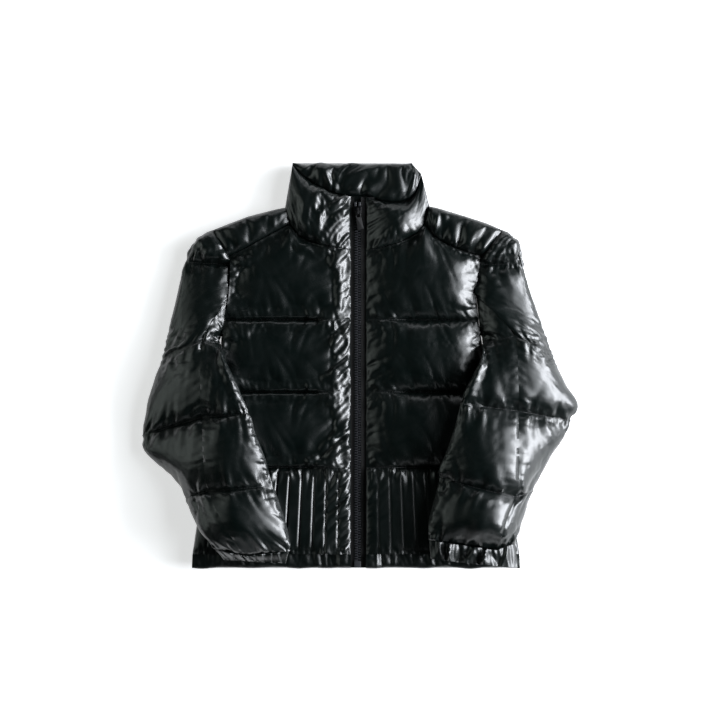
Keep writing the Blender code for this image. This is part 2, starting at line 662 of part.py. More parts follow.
def tape(side):
    """Woven tape under the front's stitched edge."""
    if side == "right":
        low_x, high_x = RIGHT_EDGE_X - TAPE_UNDER, ZIP_X - CHAIN_HALF - 0.8
    else:
        low_x, high_x = ZIP_X + CHAIN_HALF + 0.8, LEFT_EDGE_X + TAPE_UNDER
    x = np.linspace(low_x, high_x, 3)[:, None]
    y = np.linspace(HEM_Y + 1.0, ZIP_TOP_Y, 7)[None, :]
    wall(f"tape_{side}", grid_points(x, y, TAPE_Z), grid_points(x, y, TAPE_Z + TAPE_THICK), TAPE)


def chain():
    """Closed teeth as one bar with sloping shoulders, below the slider."""
    x = np.array([-CHAIN_HALF, -CHAIN_HALF * 0.72, CHAIN_HALF * 0.72, CHAIN_HALF])[:, None]
    y = np.linspace(HEM_Y + 12.0, SLIDER_LOW_Y - SEAM, 9)[None, :]
    middle = (CHAIN_LOW + CHAIN_HIGH) / 2
    rise = np.array([0.35, 1.0, 1.0, 0.35])[:, None] * (CHAIN_HIGH - middle)
    wall("chain", grid_points(ZIP_X + x, y, middle - rise), grid_points(ZIP_X + x, y, middle + rise),
         RESIN)


def stops():
    """Box at the foot of the zip and one stop above the slider on each tape."""
    box("zip_box", (ZIP_X - 5.4, HEM_Y + 1.0, CHAIN_LOW - 0.6),
        (ZIP_X + 5.4, HEM_Y + 11.7, CHAIN_HIGH + 0.6), RESIN)
    for side, sign in (("right", -1), ("left", 1)):
        ends = sorted((ZIP_X + sign * 1.4, ZIP_X + sign * (CHAIN_HALF + 0.5)))
        box(f"stop_{side}", (ends[0], SLIDER_HIGH_Y + 1.0, CHAIN_LOW),
            (ends[1], SLIDER_HIGH_Y + 8.0, CHAIN_HIGH), RESIN)


def outline_solid(outline, thickness):
    """Prism of a flat outline in millimetres, which may hold a hole, centred on its own plane."""
    curve = bpy.data.curves.new("outline", "CURVE")
    curve.dimensions = "2D"
    curve.fill_mode = "BOTH"
    curve.extrude = thickness / 2
    for ring in outline:
        spline = curve.splines.new("POLY")
        spline.points.add(len(ring) - 1)
        for point, (u, v) in zip(spline.points, ring):
            point.co = (u, v, 0.0, 1.0)
        spline.use_cyclic_u = True
    holder = bpy.data.objects.new("outline", curve)
    JACKET.objects.link(holder)
    evaluated = holder.evaluated_get(bpy.context.evaluated_depsgraph_get())
    data = bpy.data.meshes.new_from_object(evaluated)
    bpy.data.objects.remove(holder)
    solid = bmesh.new()
    solid.from_mesh(data)
    bmesh.ops.remove_doubles(solid, verts=solid.verts[:], dist=0.01)
    face_outwards(solid)
    solid.to_mesh(data)
    solid.free()
    return data


PLATE_LOW = (20.4, 22.0)
PLATE_HIGH = (27.9, 29.6)
BRIDGE_HIGH = 34.2
BRIDGE_WALL = 1.4
BRIDGE_HALF = 1.4
HINGE_Y = 255.0
HINGE_Z = 31.2


def slider():
    """Slider body: two plates joined through the chain, wider at the end where the teeth part."""
    half, neck = SLIDER_HALF_LOW, CHAIN_HALF
    section = [(-half, PLATE_LOW[0]), (half, PLATE_LOW[0]), (half, PLATE_LOW[1]),
               (neck, PLATE_LOW[1]), (neck, PLATE_HIGH[0]), (half, PLATE_HIGH[0]),
               (half, PLATE_HIGH[1]), (-half, PLATE_HIGH[1]), (-half, PLATE_HIGH[0]),
               (-neck, PLATE_HIGH[0]), (-neck, PLATE_LOW[1]), (-half, PLATE_LOW[1])]
    widen = SLIDER_HALF_HIGH / SLIDER_HALF_LOW
    data = outline_solid([section], SLIDER_HIGH_Y - SLIDER_LOW_Y)
    for vert in data.vertices:
        u, v, w = vert.co
        spread = widen if w > 0 and abs(u) > neck + 0.2 else 1.0
        y = SLIDER_HIGH_Y if w > 0 else SLIDER_LOW_Y
        vert.co = (ZIP_X + u * spread, y, v)
    settle(data)
    add_object("slider", data, ENAMEL)


def slider_bridge():
    """Arch clamped on the slider's upper plate, which holds the pull tab's bar."""
    low, high = SLIDER_LOW_Y + 1.5, SLIDER_HIGH_Y - 1.5
    foot = PLATE_HIGH[1] + SEAM
    crown = BRIDGE_HIGH - BRIDGE_WALL
    arch = [(low, foot), (low, BRIDGE_HIGH - 1.2), (low + 1.6, BRIDGE_HIGH),
            (high - 1.6, BRIDGE_HIGH), (high, BRIDGE_HIGH - 1.2), (high, foot),
            (high - BRIDGE_WALL, foot), (high - BRIDGE_WALL, crown - 0.5), (high - 2.4, crown),
            (low + 2.4, crown), (low + BRIDGE_WALL, crown - 0.5), (low + BRIDGE_WALL, foot)]
    data = outline_solid([arch], 2 * BRIDGE_HALF)
    for vert in data.vertices:
        u, v, w = vert.co
        vert.co = (ZIP_X + w, u, v)
    settle(data)
    add_object("slider_bridge", data, ENAMEL)


def settle(data):
    """Bring a mesh made in millimetres to metres, with its faces outwards."""
    shape = bmesh.new()
    shape.from_mesh(data)
    bmesh.ops.scale(shape, vec=(MM, MM, MM), verts=shape.verts[:])
    face_outwards(shape)
    shape.to_mesh(data)
    shape.free()


def pull_tab():
    """Moulded tab hung on the slider's bridge, lying down the zip and leaning to the left."""
    bar = 1.0  # half thickness of the bar that passes under the bridge
    hole_half, hole_end = 2.9, 9.0
    outline = [(-4.3, 1.0), (4.3, 1.0), (4.4, -11.0), (5.2, -24.0), (5.4, -28.5), (4.6, -PULL_LENGTH),
               (-4.6, -PULL_LENGTH), (-5.4, -28.5), (-5.2, -24.0), (-4.4, -11.0)]
    hole = [(-hole_half, -bar), (hole_half, -bar), (hole_half, -hole_end), (-hole_half, -hole_end)]
    data = outline_solid([outline, hole], PULL_THICK)
    settle(data)
    tab = add_object("pull_tab", data, RUBBER)
    tab.rotation_euler = (PULL_DROP, 0.0, PULL_LEAN)
    tab.location = (ZIP_X * MM, HINGE_Y * MM, HINGE_Z * MM)


# ---------------------------------------------------------------- assembly

def clear_scene():
    """Remove every object that is already there."""
    for old in list(bpy.data.objects):
        bpy.data.objects.remove(old, do_unlink=True)


def build():
    """Make every piece of the jacket."""
    back()
    back_strip("band_back", rows_at(HEM_SEAM_Y + HALF_SEAM, -300, -180, BAND_SEAM_Y - HALF_SEAM),
               np.array([0.85, 1.0, 1.0, 0.68]), NYLON)
    back_strip("hem_back", rows_at(HEM_Y, -326, -318, HEM_SEAM_Y - HALF_SEAM),
               np.array([0.1, 0.62, 0.82, 0.85]), BINDING)
    for side in ("right", "left"):
        front(side)
        yoke(side)
        band(side)
        hem(side)
        collar_front(side)
        half_row = next(i for i, row in enumerate(SLEEVE[side]) if row.name == "armhole")
        sleeve_half(side, "outer", 0, "outer")
        sleeve_half(side, "inner", half_row, "inner")
        cuff(side)
        tape(side)
    collar_back()
    chain()
    stops()
    slider()
    slider_bridge()
    pull_tab()


clear_scene()
JACKET = bpy.data.collections.new("Puffer jacket")
bpy.context.scene.collection.children.link(JACKET)
build()
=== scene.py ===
"""Looks of a cropped puffer jacket laid flat on its back: padded cloth, gathers, zip and finishes.

Sizes are in millimetres in the tables and turned to metres on the meshes. +X runs to the wearer's
left, +Y from the hem to the collar and +Z up. Each cloth piece is a closed wall: a plain inside and
an outside that is pressed out by its padding between the stitched lines.
"""

from __future__ import annotations

import logging
import math
from dataclasses import dataclass, field
from enum import Enum
from typing import Callable, Sequence

import bmesh
import bpy
import numpy as np
from mathutils import Matrix, Vector, noise
from mathutils.kdtree import KDTree

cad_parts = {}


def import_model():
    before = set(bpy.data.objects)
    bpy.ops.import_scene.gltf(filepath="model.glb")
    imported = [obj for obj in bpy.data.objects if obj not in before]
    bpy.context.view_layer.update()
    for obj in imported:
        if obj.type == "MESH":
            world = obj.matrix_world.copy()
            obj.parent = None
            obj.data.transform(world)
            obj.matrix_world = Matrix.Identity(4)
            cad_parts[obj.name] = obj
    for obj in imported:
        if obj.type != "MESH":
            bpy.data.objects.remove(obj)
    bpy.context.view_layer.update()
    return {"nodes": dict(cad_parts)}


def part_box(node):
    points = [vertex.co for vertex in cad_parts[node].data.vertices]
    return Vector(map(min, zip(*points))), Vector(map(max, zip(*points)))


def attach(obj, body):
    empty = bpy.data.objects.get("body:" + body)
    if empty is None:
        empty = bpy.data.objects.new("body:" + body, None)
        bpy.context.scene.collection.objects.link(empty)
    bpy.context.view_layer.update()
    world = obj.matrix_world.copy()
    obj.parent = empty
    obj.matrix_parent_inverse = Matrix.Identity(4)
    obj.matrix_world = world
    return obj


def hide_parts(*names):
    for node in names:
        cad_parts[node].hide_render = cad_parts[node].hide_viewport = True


LOG = logging.getLogger("puffer_jacket")
MM = 0.001
GARMENT = "garment"
PULL = "pull"
FAR = 1e6  # farther than any two points of the jacket, in millimetres
ROUND_OFF = 1e-6

Array = np.ndarray


class Side(Enum):
    """The wearer's side that a piece belongs to."""

    RIGHT = "right"
    LEFT = "left"

    @property
    def sign(self) -> int:
        """-1 on the wearer's right, +1 on the left."""
        return -1 if self is Side.RIGHT else 1


# ------------------------------------------------------------------ shapes of edges and chambers

def bulge(fraction: Array, power: float = 2.4) -> Array:
    """Return 0 at both ends of a chamber and 1 in its middle, with full shoulders."""
    spread = np.abs(2.0 * np.clip(fraction, 0.0, 1.0) - 1.0)
    return np.sqrt(np.clip(1.0 - spread ** power, 0.0, 1.0))


def rounded(distance: Array, radius: Array | float) -> Array:
    """Return a quarter ellipse: 0 at an edge and 1 from the radius inwards."""
    depth = 1.0 - np.clip(distance / radius, 0.0, 1.0)
    return np.sqrt(np.clip(1.0 - depth * depth, 0.0, 1.0))


def swell(distance: Array, radius: Array | float) -> Array:
    """Return an even rise: 0 at an edge and 1 from the radius inwards."""
    return np.sin(np.clip(distance / radius, 0.0, 1.0) * math.pi / 2)


def eased(value: Array | float) -> Array:
    """Return a smooth step from 0 to 1."""
    clipped = np.clip(value, 0.0, 1.0)
    return clipped * clipped * (3.0 - 2.0 * clipped)


def through(knots: Sequence[float], values: Sequence[float] | Array, at: Array) -> Array:
    """Interpolate smoothly through a table, along its first axis.

    Args:
        knots: Increasing places of the table's rows.
        values: One value, or an array of them, for each row.
        at: Places to read.

    Returns:
        The values of a cubic that passes through every row.
    """
    knots = np.asarray(knots, dtype=float)
    values = np.asarray(values, dtype=float)
    slopes = np.gradient(values, knots, axis=0)
    index = np.clip(np.searchsorted(knots, at, side="right") - 1, 0, len(knots) - 2)
    shape = np.shape(at) + (1,) * (values.ndim - 1)
    span = (knots[index + 1] - knots[index]).reshape(shape)
    t = np.clip((at - knots[index]).reshape(shape) / span, 0.0, 1.0)
    low = values[index] * (1 + 2 * t) + slopes[index] * span * t
    high = values[index + 1] * (3 - 2 * t) + slopes[index + 1] * span * (t - 1)
    return low * (1 - t) ** 2 + high * t * t


def stack(x: Array, y: Array, z: Array) -> Array:
    """Stack three grids into points (columns, rows, 3)."""
    x, y, z = np.broadcast_arrays(x, y, z)
    return np.stack([x, y, z], axis=-1).astype(float)


def spaced(seams: Sequence[float], lengths: Sequence[float], pitch: float) -> Array:
    """Space rows evenly in each chamber, with a row on every seam.

    Args:
        seams: Row values at the seams.
        lengths: Length of each chamber, in millimetres.
        pitch: Distance wanted between rows.

    Returns:
        All row values, in order.
    """
    rows = [np.array([seams[0]], dtype=float)]
    for low, high, length in zip(seams[:-1], seams[1:], lengths):
        count = max(2, round(length / pitch))
        rows.append(np.linspace(low, high, count + 1)[1:])
    return np.concatenate(rows)


# ------------------------------------------------------------------ small folds

@dataclass(frozen=True)
class Grain:
    """Repeatable smooth unevenness over a plane, about -1 to 1."""

    seed: int
    cells: int = 96
    gain: float = 1.5

    def at(self, u: Array, v: Array) -> Array:
        """Return the unevenness at places u and v, with one swell to a unit.

        Args:
            u: Places along the first direction.
            v: Places along the second direction.

        Returns:
            The unevenness there.
        """
        angles = np.random.default_rng(self.seed).uniform(0.0, 2.0 * math.pi, (self.cells,) * 2)
        u, v = np.broadcast_arrays(u, v)
        cell_u, cell_v = np.floor(u).astype(int), np.floor(v).astype(int)
        part_u, part_v = u - cell_u, v - cell_v

        def corner(right: int, up: int) -> Array:
            """Return the slope of one corner of each cell, run out to the place."""
            angle = angles[(cell_u + right) % self.cells, (cell_v + up) % self.cells]
            return np.cos(angle) * (part_u - right) + np.sin(angle) * (part_v - up)

        ease_u, ease_v = eased(part_u), eased(part_v)
        low = corner(0, 0) * (1 - ease_u) + corner(1, 0) * ease_u
        high = corner(0, 1) * (1 - ease_u) + corner(1, 1) * ease_u
        return self.gain * (low * (1 - ease_v) + high * ease_v)


@dataclass(frozen=True)
class Puckers:
    """Folds that fan out from a stitched line, the smallest ones nearest to it."""

    seed: int
    spacings: tuple[float, ...] = (7.0, 13.0, 24.0)
    rise: float = 0.17  # height of a fold, as a share of its spacing
    reach: float = 1.2  # how far from the line a fold dies out, in spacings
    lean: float = 0.4  # how far folds swing to either side as they leave the line
    slant: float = 0.0  # how far all of them run to one side
    stretch: float = 2.8  # length of a fold, in spacings
    swing_size: tuple[float, float] = (55.0, 90.0)  # along and away from the line, in millimetres
    start: float = 0.2  # how far from the line a fold begins, in spacings
    ridge: float = 2.2  # height of a ridge, in rises
    sink: float = 0.55  # how far the cloth between ridges drops, in rises

    def height(self, along: Array, away: Array) -> Array:
        """Return the height of the folds.

        Args:
            along: Distance along the stitched line, in millimetres.
            away: Distance from it.

        Returns:
            The height there, in millimetres.
        """
        away = np.maximum(away, 0.0)
        size_along, size_away = self.swing_size
        swing = self.slant + self.lean * Grain(self.seed + 5).at(along / size_along,
                                                                 away / size_away)
        total = np.zeros(np.broadcast(along, away).shape)
        for step, spacing in enumerate(self.spacings):
            across = (along + swing * away) / spacing
            fold = np.abs(Grain(self.seed + 17 * step).at(across, away / (self.stretch * spacing)))
            start = 1.0 - np.exp(-(away / (self.start * spacing)) ** 2)
            fade = np.exp(-(away / (self.reach * spacing)) ** 1.6)
            ridges = self.ridge * fold - self.sink
            total = total + self.rise * spacing * ridges * start * fade
        return total


@dataclass(frozen=True)
class Rumple:
    """A patch of creases where the cloth bends, as at an elbow."""

    x: float
    y: float
    radius: float
    turn: float  # direction of the creases, in degrees from +X
    spacing: float = 9.0
    rise: float = 0.27
    stretch: float = 3.0  # length of a crease, in spacings
    ridge: float = 2.2  # height of a ridge, in rises
    sink: float = 0.6  # how far the cloth between ridges drops, in rises

    def height(self, x: Array, y: Array) -> Array:
        """Return the height of the creases.

        Args:
            x: Places across the jacket, in millimetres.
            y: Places along it.

        Returns:
            The height there, in millimetres.
        """
        turn = math.radians(self.turn)
        along = (x - self.x) * math.cos(turn) + (y - self.y) * math.sin(turn)
        across = (y - self.y) * math.cos(turn) - (x - self.x) * math.sin(turn)
        seed = round(abs(self.x) + abs(self.y))
        fold = np.abs(Grain(seed).at(across / self.spacing, along / (self.stretch * self.spacing)))
        fade = np.exp(-(along ** 2 + across ** 2) / self.radius ** 2)
        return self.rise * self.spacing * (self.ridge * fold - self.sink) * fade


@dataclass(frozen=True)
class ZipFolds:
    """Crinkles of the cloth that one side of the zip gathers."""

    slant: float
    rise: float
    reach: float
    lean: float = 0.45
    stretch: float = 7.0

    def puckers(self, seed: int, spacings: tuple[float, ...]) -> Puckers:
        """Return the long folds that run out from the zip."""
        return Puckers(seed=seed, spacings=spacings, lean=self.lean, slant=self.slant,
                       stretch=self.stretch, rise=self.rise, reach=self.reach)


# ------------------------------------------------------------------ the cut

@dataclass(frozen=True)
class SidePoint:
    """Height along the body and the x of its right and left side line there."""

    y: float
    right: float
    left: float


@dataclass(frozen=True)
class NeckPoint:
    """A point of a front collar's seam and the point of its top edge above it."""

    seam_x: float
    seam_y: float
    top_x: float
    top_y: float


@dataclass(frozen=True)
class SleeveRow:
    """Section of a sleeve: its outer fold, its long seam and its inner fold, in plan."""

    name: str
    outer_x: float
    outer_y: float
    seam_x: float
    seam_y: float
    inner_x: float | None
    inner_y: float | None


def rows_of(kind: type, *rows: tuple) -> tuple:
    """Return rows of numbers as points of one kind."""
    return tuple(kind(*row) for row in rows)


@dataclass(frozen=True)
class Cut:
    """The jacket's outline and seams as it lies, in millimetres."""

    inside_z: float = 20.0
    seam_gap: float = 0.3
    seam_wall: float = 3.2
    chamber_wall: float = 28.0
    band_wall: float = 17.0
    hem_wall: float = 8.0
    yoke_wall: float = 21.0
    collar_wall: float = 30.0
    collar_puff: float = 15.0
    sleeve_top_wall: float = 24.0
    sleeve_under_wall: float = 19.4
    sleeve_slit: float = 1.2
    cuff_wall: float = 7.0
    cuff_length: float = 25.0
    hem_y: float = -332.0
    hem_seam_y: float = -309.0
    band_seam_y: float = -166.0
    lower_quilt_y: float = -42.0
    upper_quilt_y: float = 77.0
    yoke_side_y: float = 181.0
    shoulder_side_y: float = 225.0
    back_neck_y: float = 245.0
    underarm_y: float = 52.0
    right_edge_x: float = -16.0
    left_edge_x: float = 9.0
    tape_top_z: float = 25.5
    tape_clear: float = 18.0
    tape_lift_end: float = 25.0
    least_wall: float = 1.2  # thinnest that a padded wall is pressed
    edge_places: tuple[float, ...] = (0.0, 3.0, 14.0, 29.0, 44.0, 66.0)  # distances from the edge
    edge_rise_right: tuple[float, ...] = (1.8, 3.5, 8.2, 12.4, 10.5)  # heights over the tape
    edge_rise_left: tuple[float, ...] = (1.8, 2.8, 4.6, 6.0, 5.0)
    lift_run: float = 48.0
    lift_clear: float = 1.6  # space between the fronts and the sleeve over them
    lift_round: float = 40.0
    band_rows: tuple[float, float] = (-185.0, -140.0)  # where the band's wall grows to a chamber's
    underarm_run: float = 34.0
    drape_radii: tuple[float, float] = (30.0, 60.0)
    drape_turns: int = 8
    fold_round: float = 45.0
    under_round: float = 34.0
    fold_wall: float = 14.0
    armhole_round: float = 38.0

    body_side: tuple[SidePoint, ...] = rows_of(
        SidePoint, (-332, -278, 263), (-309, -277, 262), (-166, -256, 240), (-42, -240, 215),
        (52, -229, 198), (77, -224, 195), (116, -217, 191), (140, -215, 193), (168, -214.5, 196),
        (181, -217, 200), (204, -229, 214), (225, -243, 233),
    )
    neck_right: tuple[NeckPoint, ...] = rows_of(
        NeckPoint, (-16, 192, -16, 280), (-20, 192, -20, 280), (-31, 193, -31, 281),
        (-40, 194, -38, 283), (-60, 198, -54, 288), (-81, 204, -70, 296), (-101, 214, -87, 307),
        (-117, 233, -101, 319), (-125, 256, -112, 332),
    )
    neck_left: tuple[NeckPoint, ...] = rows_of(
        NeckPoint, (9, 192, 9, 280), (13, 192, 13, 278), (24, 193, 24, 275), (38, 196, 35, 271),
        (60, 202, 50, 269), (80, 211, 66, 270), (95, 220, 80, 274), (106, 233, 92, 287),
        (115, 258, 101, 314),
    )
    yoke_right: tuple[NeckPoint, ...] = rows_of(
        NeckPoint, (-117, 233, -129, 262), (-141, 221, -152, 256), (-163, 209, -186, 247),
        (-192, 193, -220, 234), (-217, 181, -243, 225),
    )
    yoke_left: tuple[NeckPoint, ...] = rows_of(
        NeckPoint, (106, 233, 119, 264), (121, 213, 135, 259), (143, 200, 171, 248),
        (168, 190, 208, 236), (200, 181, 233, 225),
    )
    back_top: tuple[tuple[float, float], ...] = (
        (-243, 225), (-215, 236), (-186, 247), (-152, 256), (-127.5, 262), (-122, 245),
        (-62, 245), (-4, 245), (54, 245), (113, 245), (119.5, 264), (140, 257),
        (171, 248), (206, 236.5), (233, 225),
    )
    collar_side: tuple[SidePoint, ...] = rows_of(
        SidePoint, (245, -119, 110), (262, -123, 113.5), (290, -119, 107), (318, -114.5, 100),
        (336, -112, 84),
    )
    sleeve_right: tuple[SleeveRow, ...] = rows_of(
        SleeveRow,
        ("shoulder", -253, 222, -243, 225, None, None),
        ("cap", -271, 209, -229, 204, None, None),
        ("cap", -283, 192, -217, 181, None, None),
        ("quilt", -289, 172, -214.5, 168, None, None),
        ("upper", -299, 134, -215, 140, None, None),
        ("armhole", -309, 93, -217, 116, -229, 52),
        ("upper", -318, 54, -241, 78, -230.4, 46),
        ("quilt", -327, 14, -260, 43, -231.5, 38),
        ("above elbow", -339, -20, -261, 7, -219, 8),
        ("above elbow", -350, -53, -261, -26, -203, -25),
        ("above elbow", -356, -88, -261, -57, -191, -53),
        ("quilt", -360, -114, -260, -83, -182, -76),
        ("elbow", -357, -138, -258, -113, -171, -107),
        ("below elbow", -336, -160, -257, -142, -160, -136),
        ("below elbow", -308, -185, -254, -171, -151, -163),
        ("quilt", -288, -216, -248, -203, -143, -194),
        ("forearm", -276, -245, -234, -234, -131, -228),
        ("forearm", -260, -274, -214, -271, -119, -265),
        ("cuff seam", -240, -297, -189, -308, -115, -301),
    )
    sleeve_left: tuple[SleeveRow, ...] = rows_of(
        SleeveRow,
        ("shoulder", 243, 222, 233, 225, None, None),
        ("cap", 258, 209, 214, 204, None, None),
        ("cap", 266, 192, 200, 181, None, None),
        ("quilt", 270, 170, 196, 168, None, None),
        ("upper", 278, 130, 193, 140, None, None),
        ("armhole", 290, 96, 191, 116, 198, 52),
        ("upper", 302, 60, 226, 82, 199.8, 46),
        ("quilt", 316, 24, 252, 50, 201.4, 38),
        ("above elbow", 328, -6, 256, 20, 197, 15),
        ("above elbow", 340, -31, 257, -10, 184, -12),
        ("elbow", 357, -62, 258, -42, 171, -38),
        ("quilt", 347, -90, 259, -73, 162, -60),
        ("below elbow", 337, -115, 258, -109, 152, -100),
        ("below elbow", 316, -146, 258, -145, 141, -134),
        ("below elbow", 298, -177, 257, -180, 132, -159),
        ("quilt", 285, -206, 253, -213, 128, -182),
        ("forearm", 273, -234, 241, -241, 121, -214),
        ("forearm", 263, -262, 230, -271, 113, -250),
        ("cuff seam", 255, -288, 222, -299, 110, -283),
    )

    @property
    def front_z(self) -> float:
        """Height of the plain inside of the fronts."""
        return self.inside_z + self.seam_gap

    @property
    def seam_half(self) -> float:
        """Half of the gap between two pieces, which each of them leaves."""
        return self.seam_gap / 2

    @property
    def chamber_seams(self) -> tuple[float, float, float]:
        """Heights of the seams that bound the two lower chambers."""
        return self.band_seam_y, self.lower_quilt_y, self.upper_quilt_y

    def neck(self, side: Side) -> tuple[NeckPoint, ...]:
        """Return the collar table of a side."""
        return getattr(self, f"neck_{side.value}")

    def yoke(self, side: Side) -> tuple[NeckPoint, ...]:
        """Return the yoke table of a side."""
        return getattr(self, f"yoke_{side.value}")

    def sleeve(self, side: Side) -> tuple[SleeveRow, ...]:
        """Return the sleeve table of a side."""
        return getattr(self, f"sleeve_{side.value}")

    def edge_x(self, side: Side) -> float:
        """Return the x of a front's stitched edge beside the zip."""
        return getattr(self, f"{side.value}_edge_x")

    def side_x(self, side: Side, y: Array) -> Array:
        """Return the x of the side seam or armhole at heights y."""
        return np.interp(y, [p.y for p in self.body_side],
                         [getattr(p, side.value) for p in self.body_side])

    def front_inside(self, distance: Array) -> Array:
        """Return a front's inner height, lifted where the zip tape lies under its edge.

        Args:
            distance: Distance from the bound edge beside the zip.

        Returns:
            The height of each point.
        """
        lift = self.tape_top_z + self.seam_gap - self.front_z
        share = (self.tape_lift_end - distance) / (self.tape_lift_end - self.tape_clear)
        return self.front_z + lift * np.clip(share, 0.0, 1.0)

    def bound_edge(self, side: Side, distance: Array) -> Array:
        """Return the height of the cloth turned down over the zip tape, without its padding.

        Args:
            side: Side of the jacket.
            distance: Distance from the bound edge beside the zip.

        Returns:
            The height of each point.
        """
        over = self.front_z + self.seam_wall - self.tape_top_z
        rises = np.array([*getattr(self, f"edge_rise_{side.value}"), over])
        return through(self.edge_places, self.tape_top_z + rises, distance)

    def body_top(self, x: Array, y: Array) -> Array:
        """Return the height that clears the fronts, eased down to the surface outside the body.

        Args:
            x: Places across the jacket.
            y: Places along it.

        Returns:
            The height there.
        """
        side_x = np.where(x < 0, self.side_x(Side.RIGHT, y), self.side_x(Side.LEFT, y))
        inside = np.where(x < 0, x - side_x, side_x - x)
        full = np.interp(y, self.band_rows, [self.band_wall, self.chamber_wall])
        low = self.front_z + self.seam_wall + self.lift_clear
        over = low + (full - self.seam_wall) * rounded(inside, self.lift_round)
        edge = low * eased(1.0 + np.minimum(inside, 0.0) / self.lift_run)
        return np.where(inside > 0, over, edge)

    def sleeve_lift(self, x: Array, y: Array) -> Array:
        """Return how far the body underneath raises a sleeve."""
        return self.body_top(x, y) * eased((self.underarm_y + 4.0 - y) / self.underarm_run)

    def drape(self, x: Array, y: Array) -> Array:
        """Return the lift of a sleeve's upper cloth, which spans the edges beneath it.

        Args:
            x: Places across the jacket.
            y: Places along it.

        Returns:
            The mean lift of two rings of points round each place.
        """
        total = 0.0 * (x + y)
        for radius in self.drape_radii:
            for step in range(self.drape_turns):
                turn = math.pi * (step + radius / self.drape_radii[1]) / (self.drape_turns / 2)
                total = total + self.sleeve_lift(x + radius * math.cos(turn),
                                                 y + radius * math.sin(turn))
        return total / (len(self.drape_radii) * self.drape_turns)

    def from_armhole(self, side: Side, x: Array, y: Array) -> Array:
        """Return the distance in plan to the armhole's seam.

        Args:
            side: Side of the jacket.
            x: Places across the jacket.
            y: Places along it.

        Returns:
            The distance from each place.
        """
        points = [(getattr(p, side.value), p.y) for p in self.body_side if p.y >= self.underarm_y]
        nearest = np.full(np.shape(x), FAR)
        for (ax, ay), (bx, by) in zip(points[:-1], points[1:]):
            dx, dy = bx - ax, by - ay
            along = np.clip(((x - ax) * dx + (y - ay) * dy) / (dx * dx + dy * dy), 0.0, 1.0)
            nearest = np.minimum(nearest, np.hypot(x - ax - along * dx, y - ay - along * dy))
        return nearest

    def sleeve_edge_distance(self, x: Array, y: Array) -> Array:
        """Return how far a point of the fronts lies towards the zip from the sleeve above it.

        Args:
            x: Places across the jacket.
            y: Places along it.

        Returns:
            The distance from each place, negative under the sleeve.
        """
        distance = np.full(np.shape(x), FAR)
        for side in Side:
            rows = [r for r in self.sleeve(side) if r.inner_x is not None]
            heights = [r.inner_y for r in rows][::-1]
            edge = np.interp(y, heights, [r.inner_x for r in rows][::-1])
            outward = (edge - x) * side.sign
            outward = np.where(y > rows[0].inner_y, FAR, outward)
            outward = np.where(y < rows[-1].inner_y - self.cuff_length, FAR, outward)
            distance = np.minimum(distance, np.where(np.sign(x) == side.sign, outward, FAR))
        return distance


# ------------------------------------------------------------------ colours and finishes

def linear(code: str) -> tuple[float, float, float, float]:
    """Turn an sRGB hex colour such as "#0c0e0e" to linear RGBA."""
    parts = [int(code[i:i + 2], 16) / 255.0 for i in (1, 3, 5)]
    turned = [p / 12.92 if p <= 0.04045 else ((p + 0.055) / 1.055) ** 2.4 for p in parts]
    return turned[0], turned[1], turned[2], 1.0


def add_node(tree: bpy.types.NodeTree, kind: str, settings: dict | None = None,
             inputs: dict | None = None) -> bpy.types.Node:
    """Add a shader node.

    Args:
        tree: Node tree to add it to.
        kind: Node type, such as "ShaderNodeBump".
        settings: Attributes to set on the node.
        inputs: Socket values, or output sockets to link, by input name or index.

    Returns:
        The new node.
    """
    made = tree.nodes.new(kind)
    for key, value in (settings or {}).items():
        setattr(made, key, value)
    for key, value in (inputs or {}).items():
        if isinstance(value, bpy.types.NodeSocket):
            tree.links.new(value, made.inputs[key])
        else:
            made.inputs[key].default_value = value
    return made


def start_material(name: str) -> tuple[bpy.types.Material, bpy.types.NodeTree, bpy.types.Node]:
    """Make a node material.

    Args:
        name: Name of the material.

    Returns:
        The material, its node tree and its Principled shader.
    """
    made = bpy.data.materials.new(name)
    made.use_nodes = True
    tree = made.node_tree
    return made, tree, tree.nodes["Principled BSDF"]


def mix_colours(tree: bpy.types.NodeTree, shader: bpy.types.Node, factor: bpy.types.NodeSocket,
                low: str, high: str) -> None:
    """Colour a shader with a mix of two colours.

    Args:
        tree: Node tree of the material.
        shader: Principled shader to colour.
        factor: Socket that mixes them, from 0 for the first to 1 for the second.
        low: First colour, as sRGB hex.
        high: Second colour.
    """
    mix = add_node(tree, "ShaderNodeMix", {"data_type": "RGBA"})
    mix.inputs["A"].default_value = linear(low)
    mix.inputs["B"].default_value = linear(high)
    tree.links.new(factor, mix.inputs["Factor"])
    tree.links.new(mix.outputs["Result"], shader.inputs["Base Color"])


def add_bumps(tree: bpy.types.NodeTree, shader: bpy.types.Node,
              bumps: Sequence[tuple[bpy.types.NodeSocket, float, float]]) -> None:
    """Roughen a shader.

    Args:
        tree: Node tree of the material.
        shader: Principled shader to roughen.
        bumps: Height, strength and depth in millimetres of each layer, the broadest first.
    """
    inputs: dict = {}
    for height, strength, depth in bumps:
        inputs.update(Height=height, Strength=strength, Distance=depth * MM)
        bump = add_node(tree, "ShaderNodeBump", {}, inputs)
        inputs["Normal"] = bump.outputs["Normal"]
    tree.links.new(inputs["Normal"], shader.inputs["Normal"])


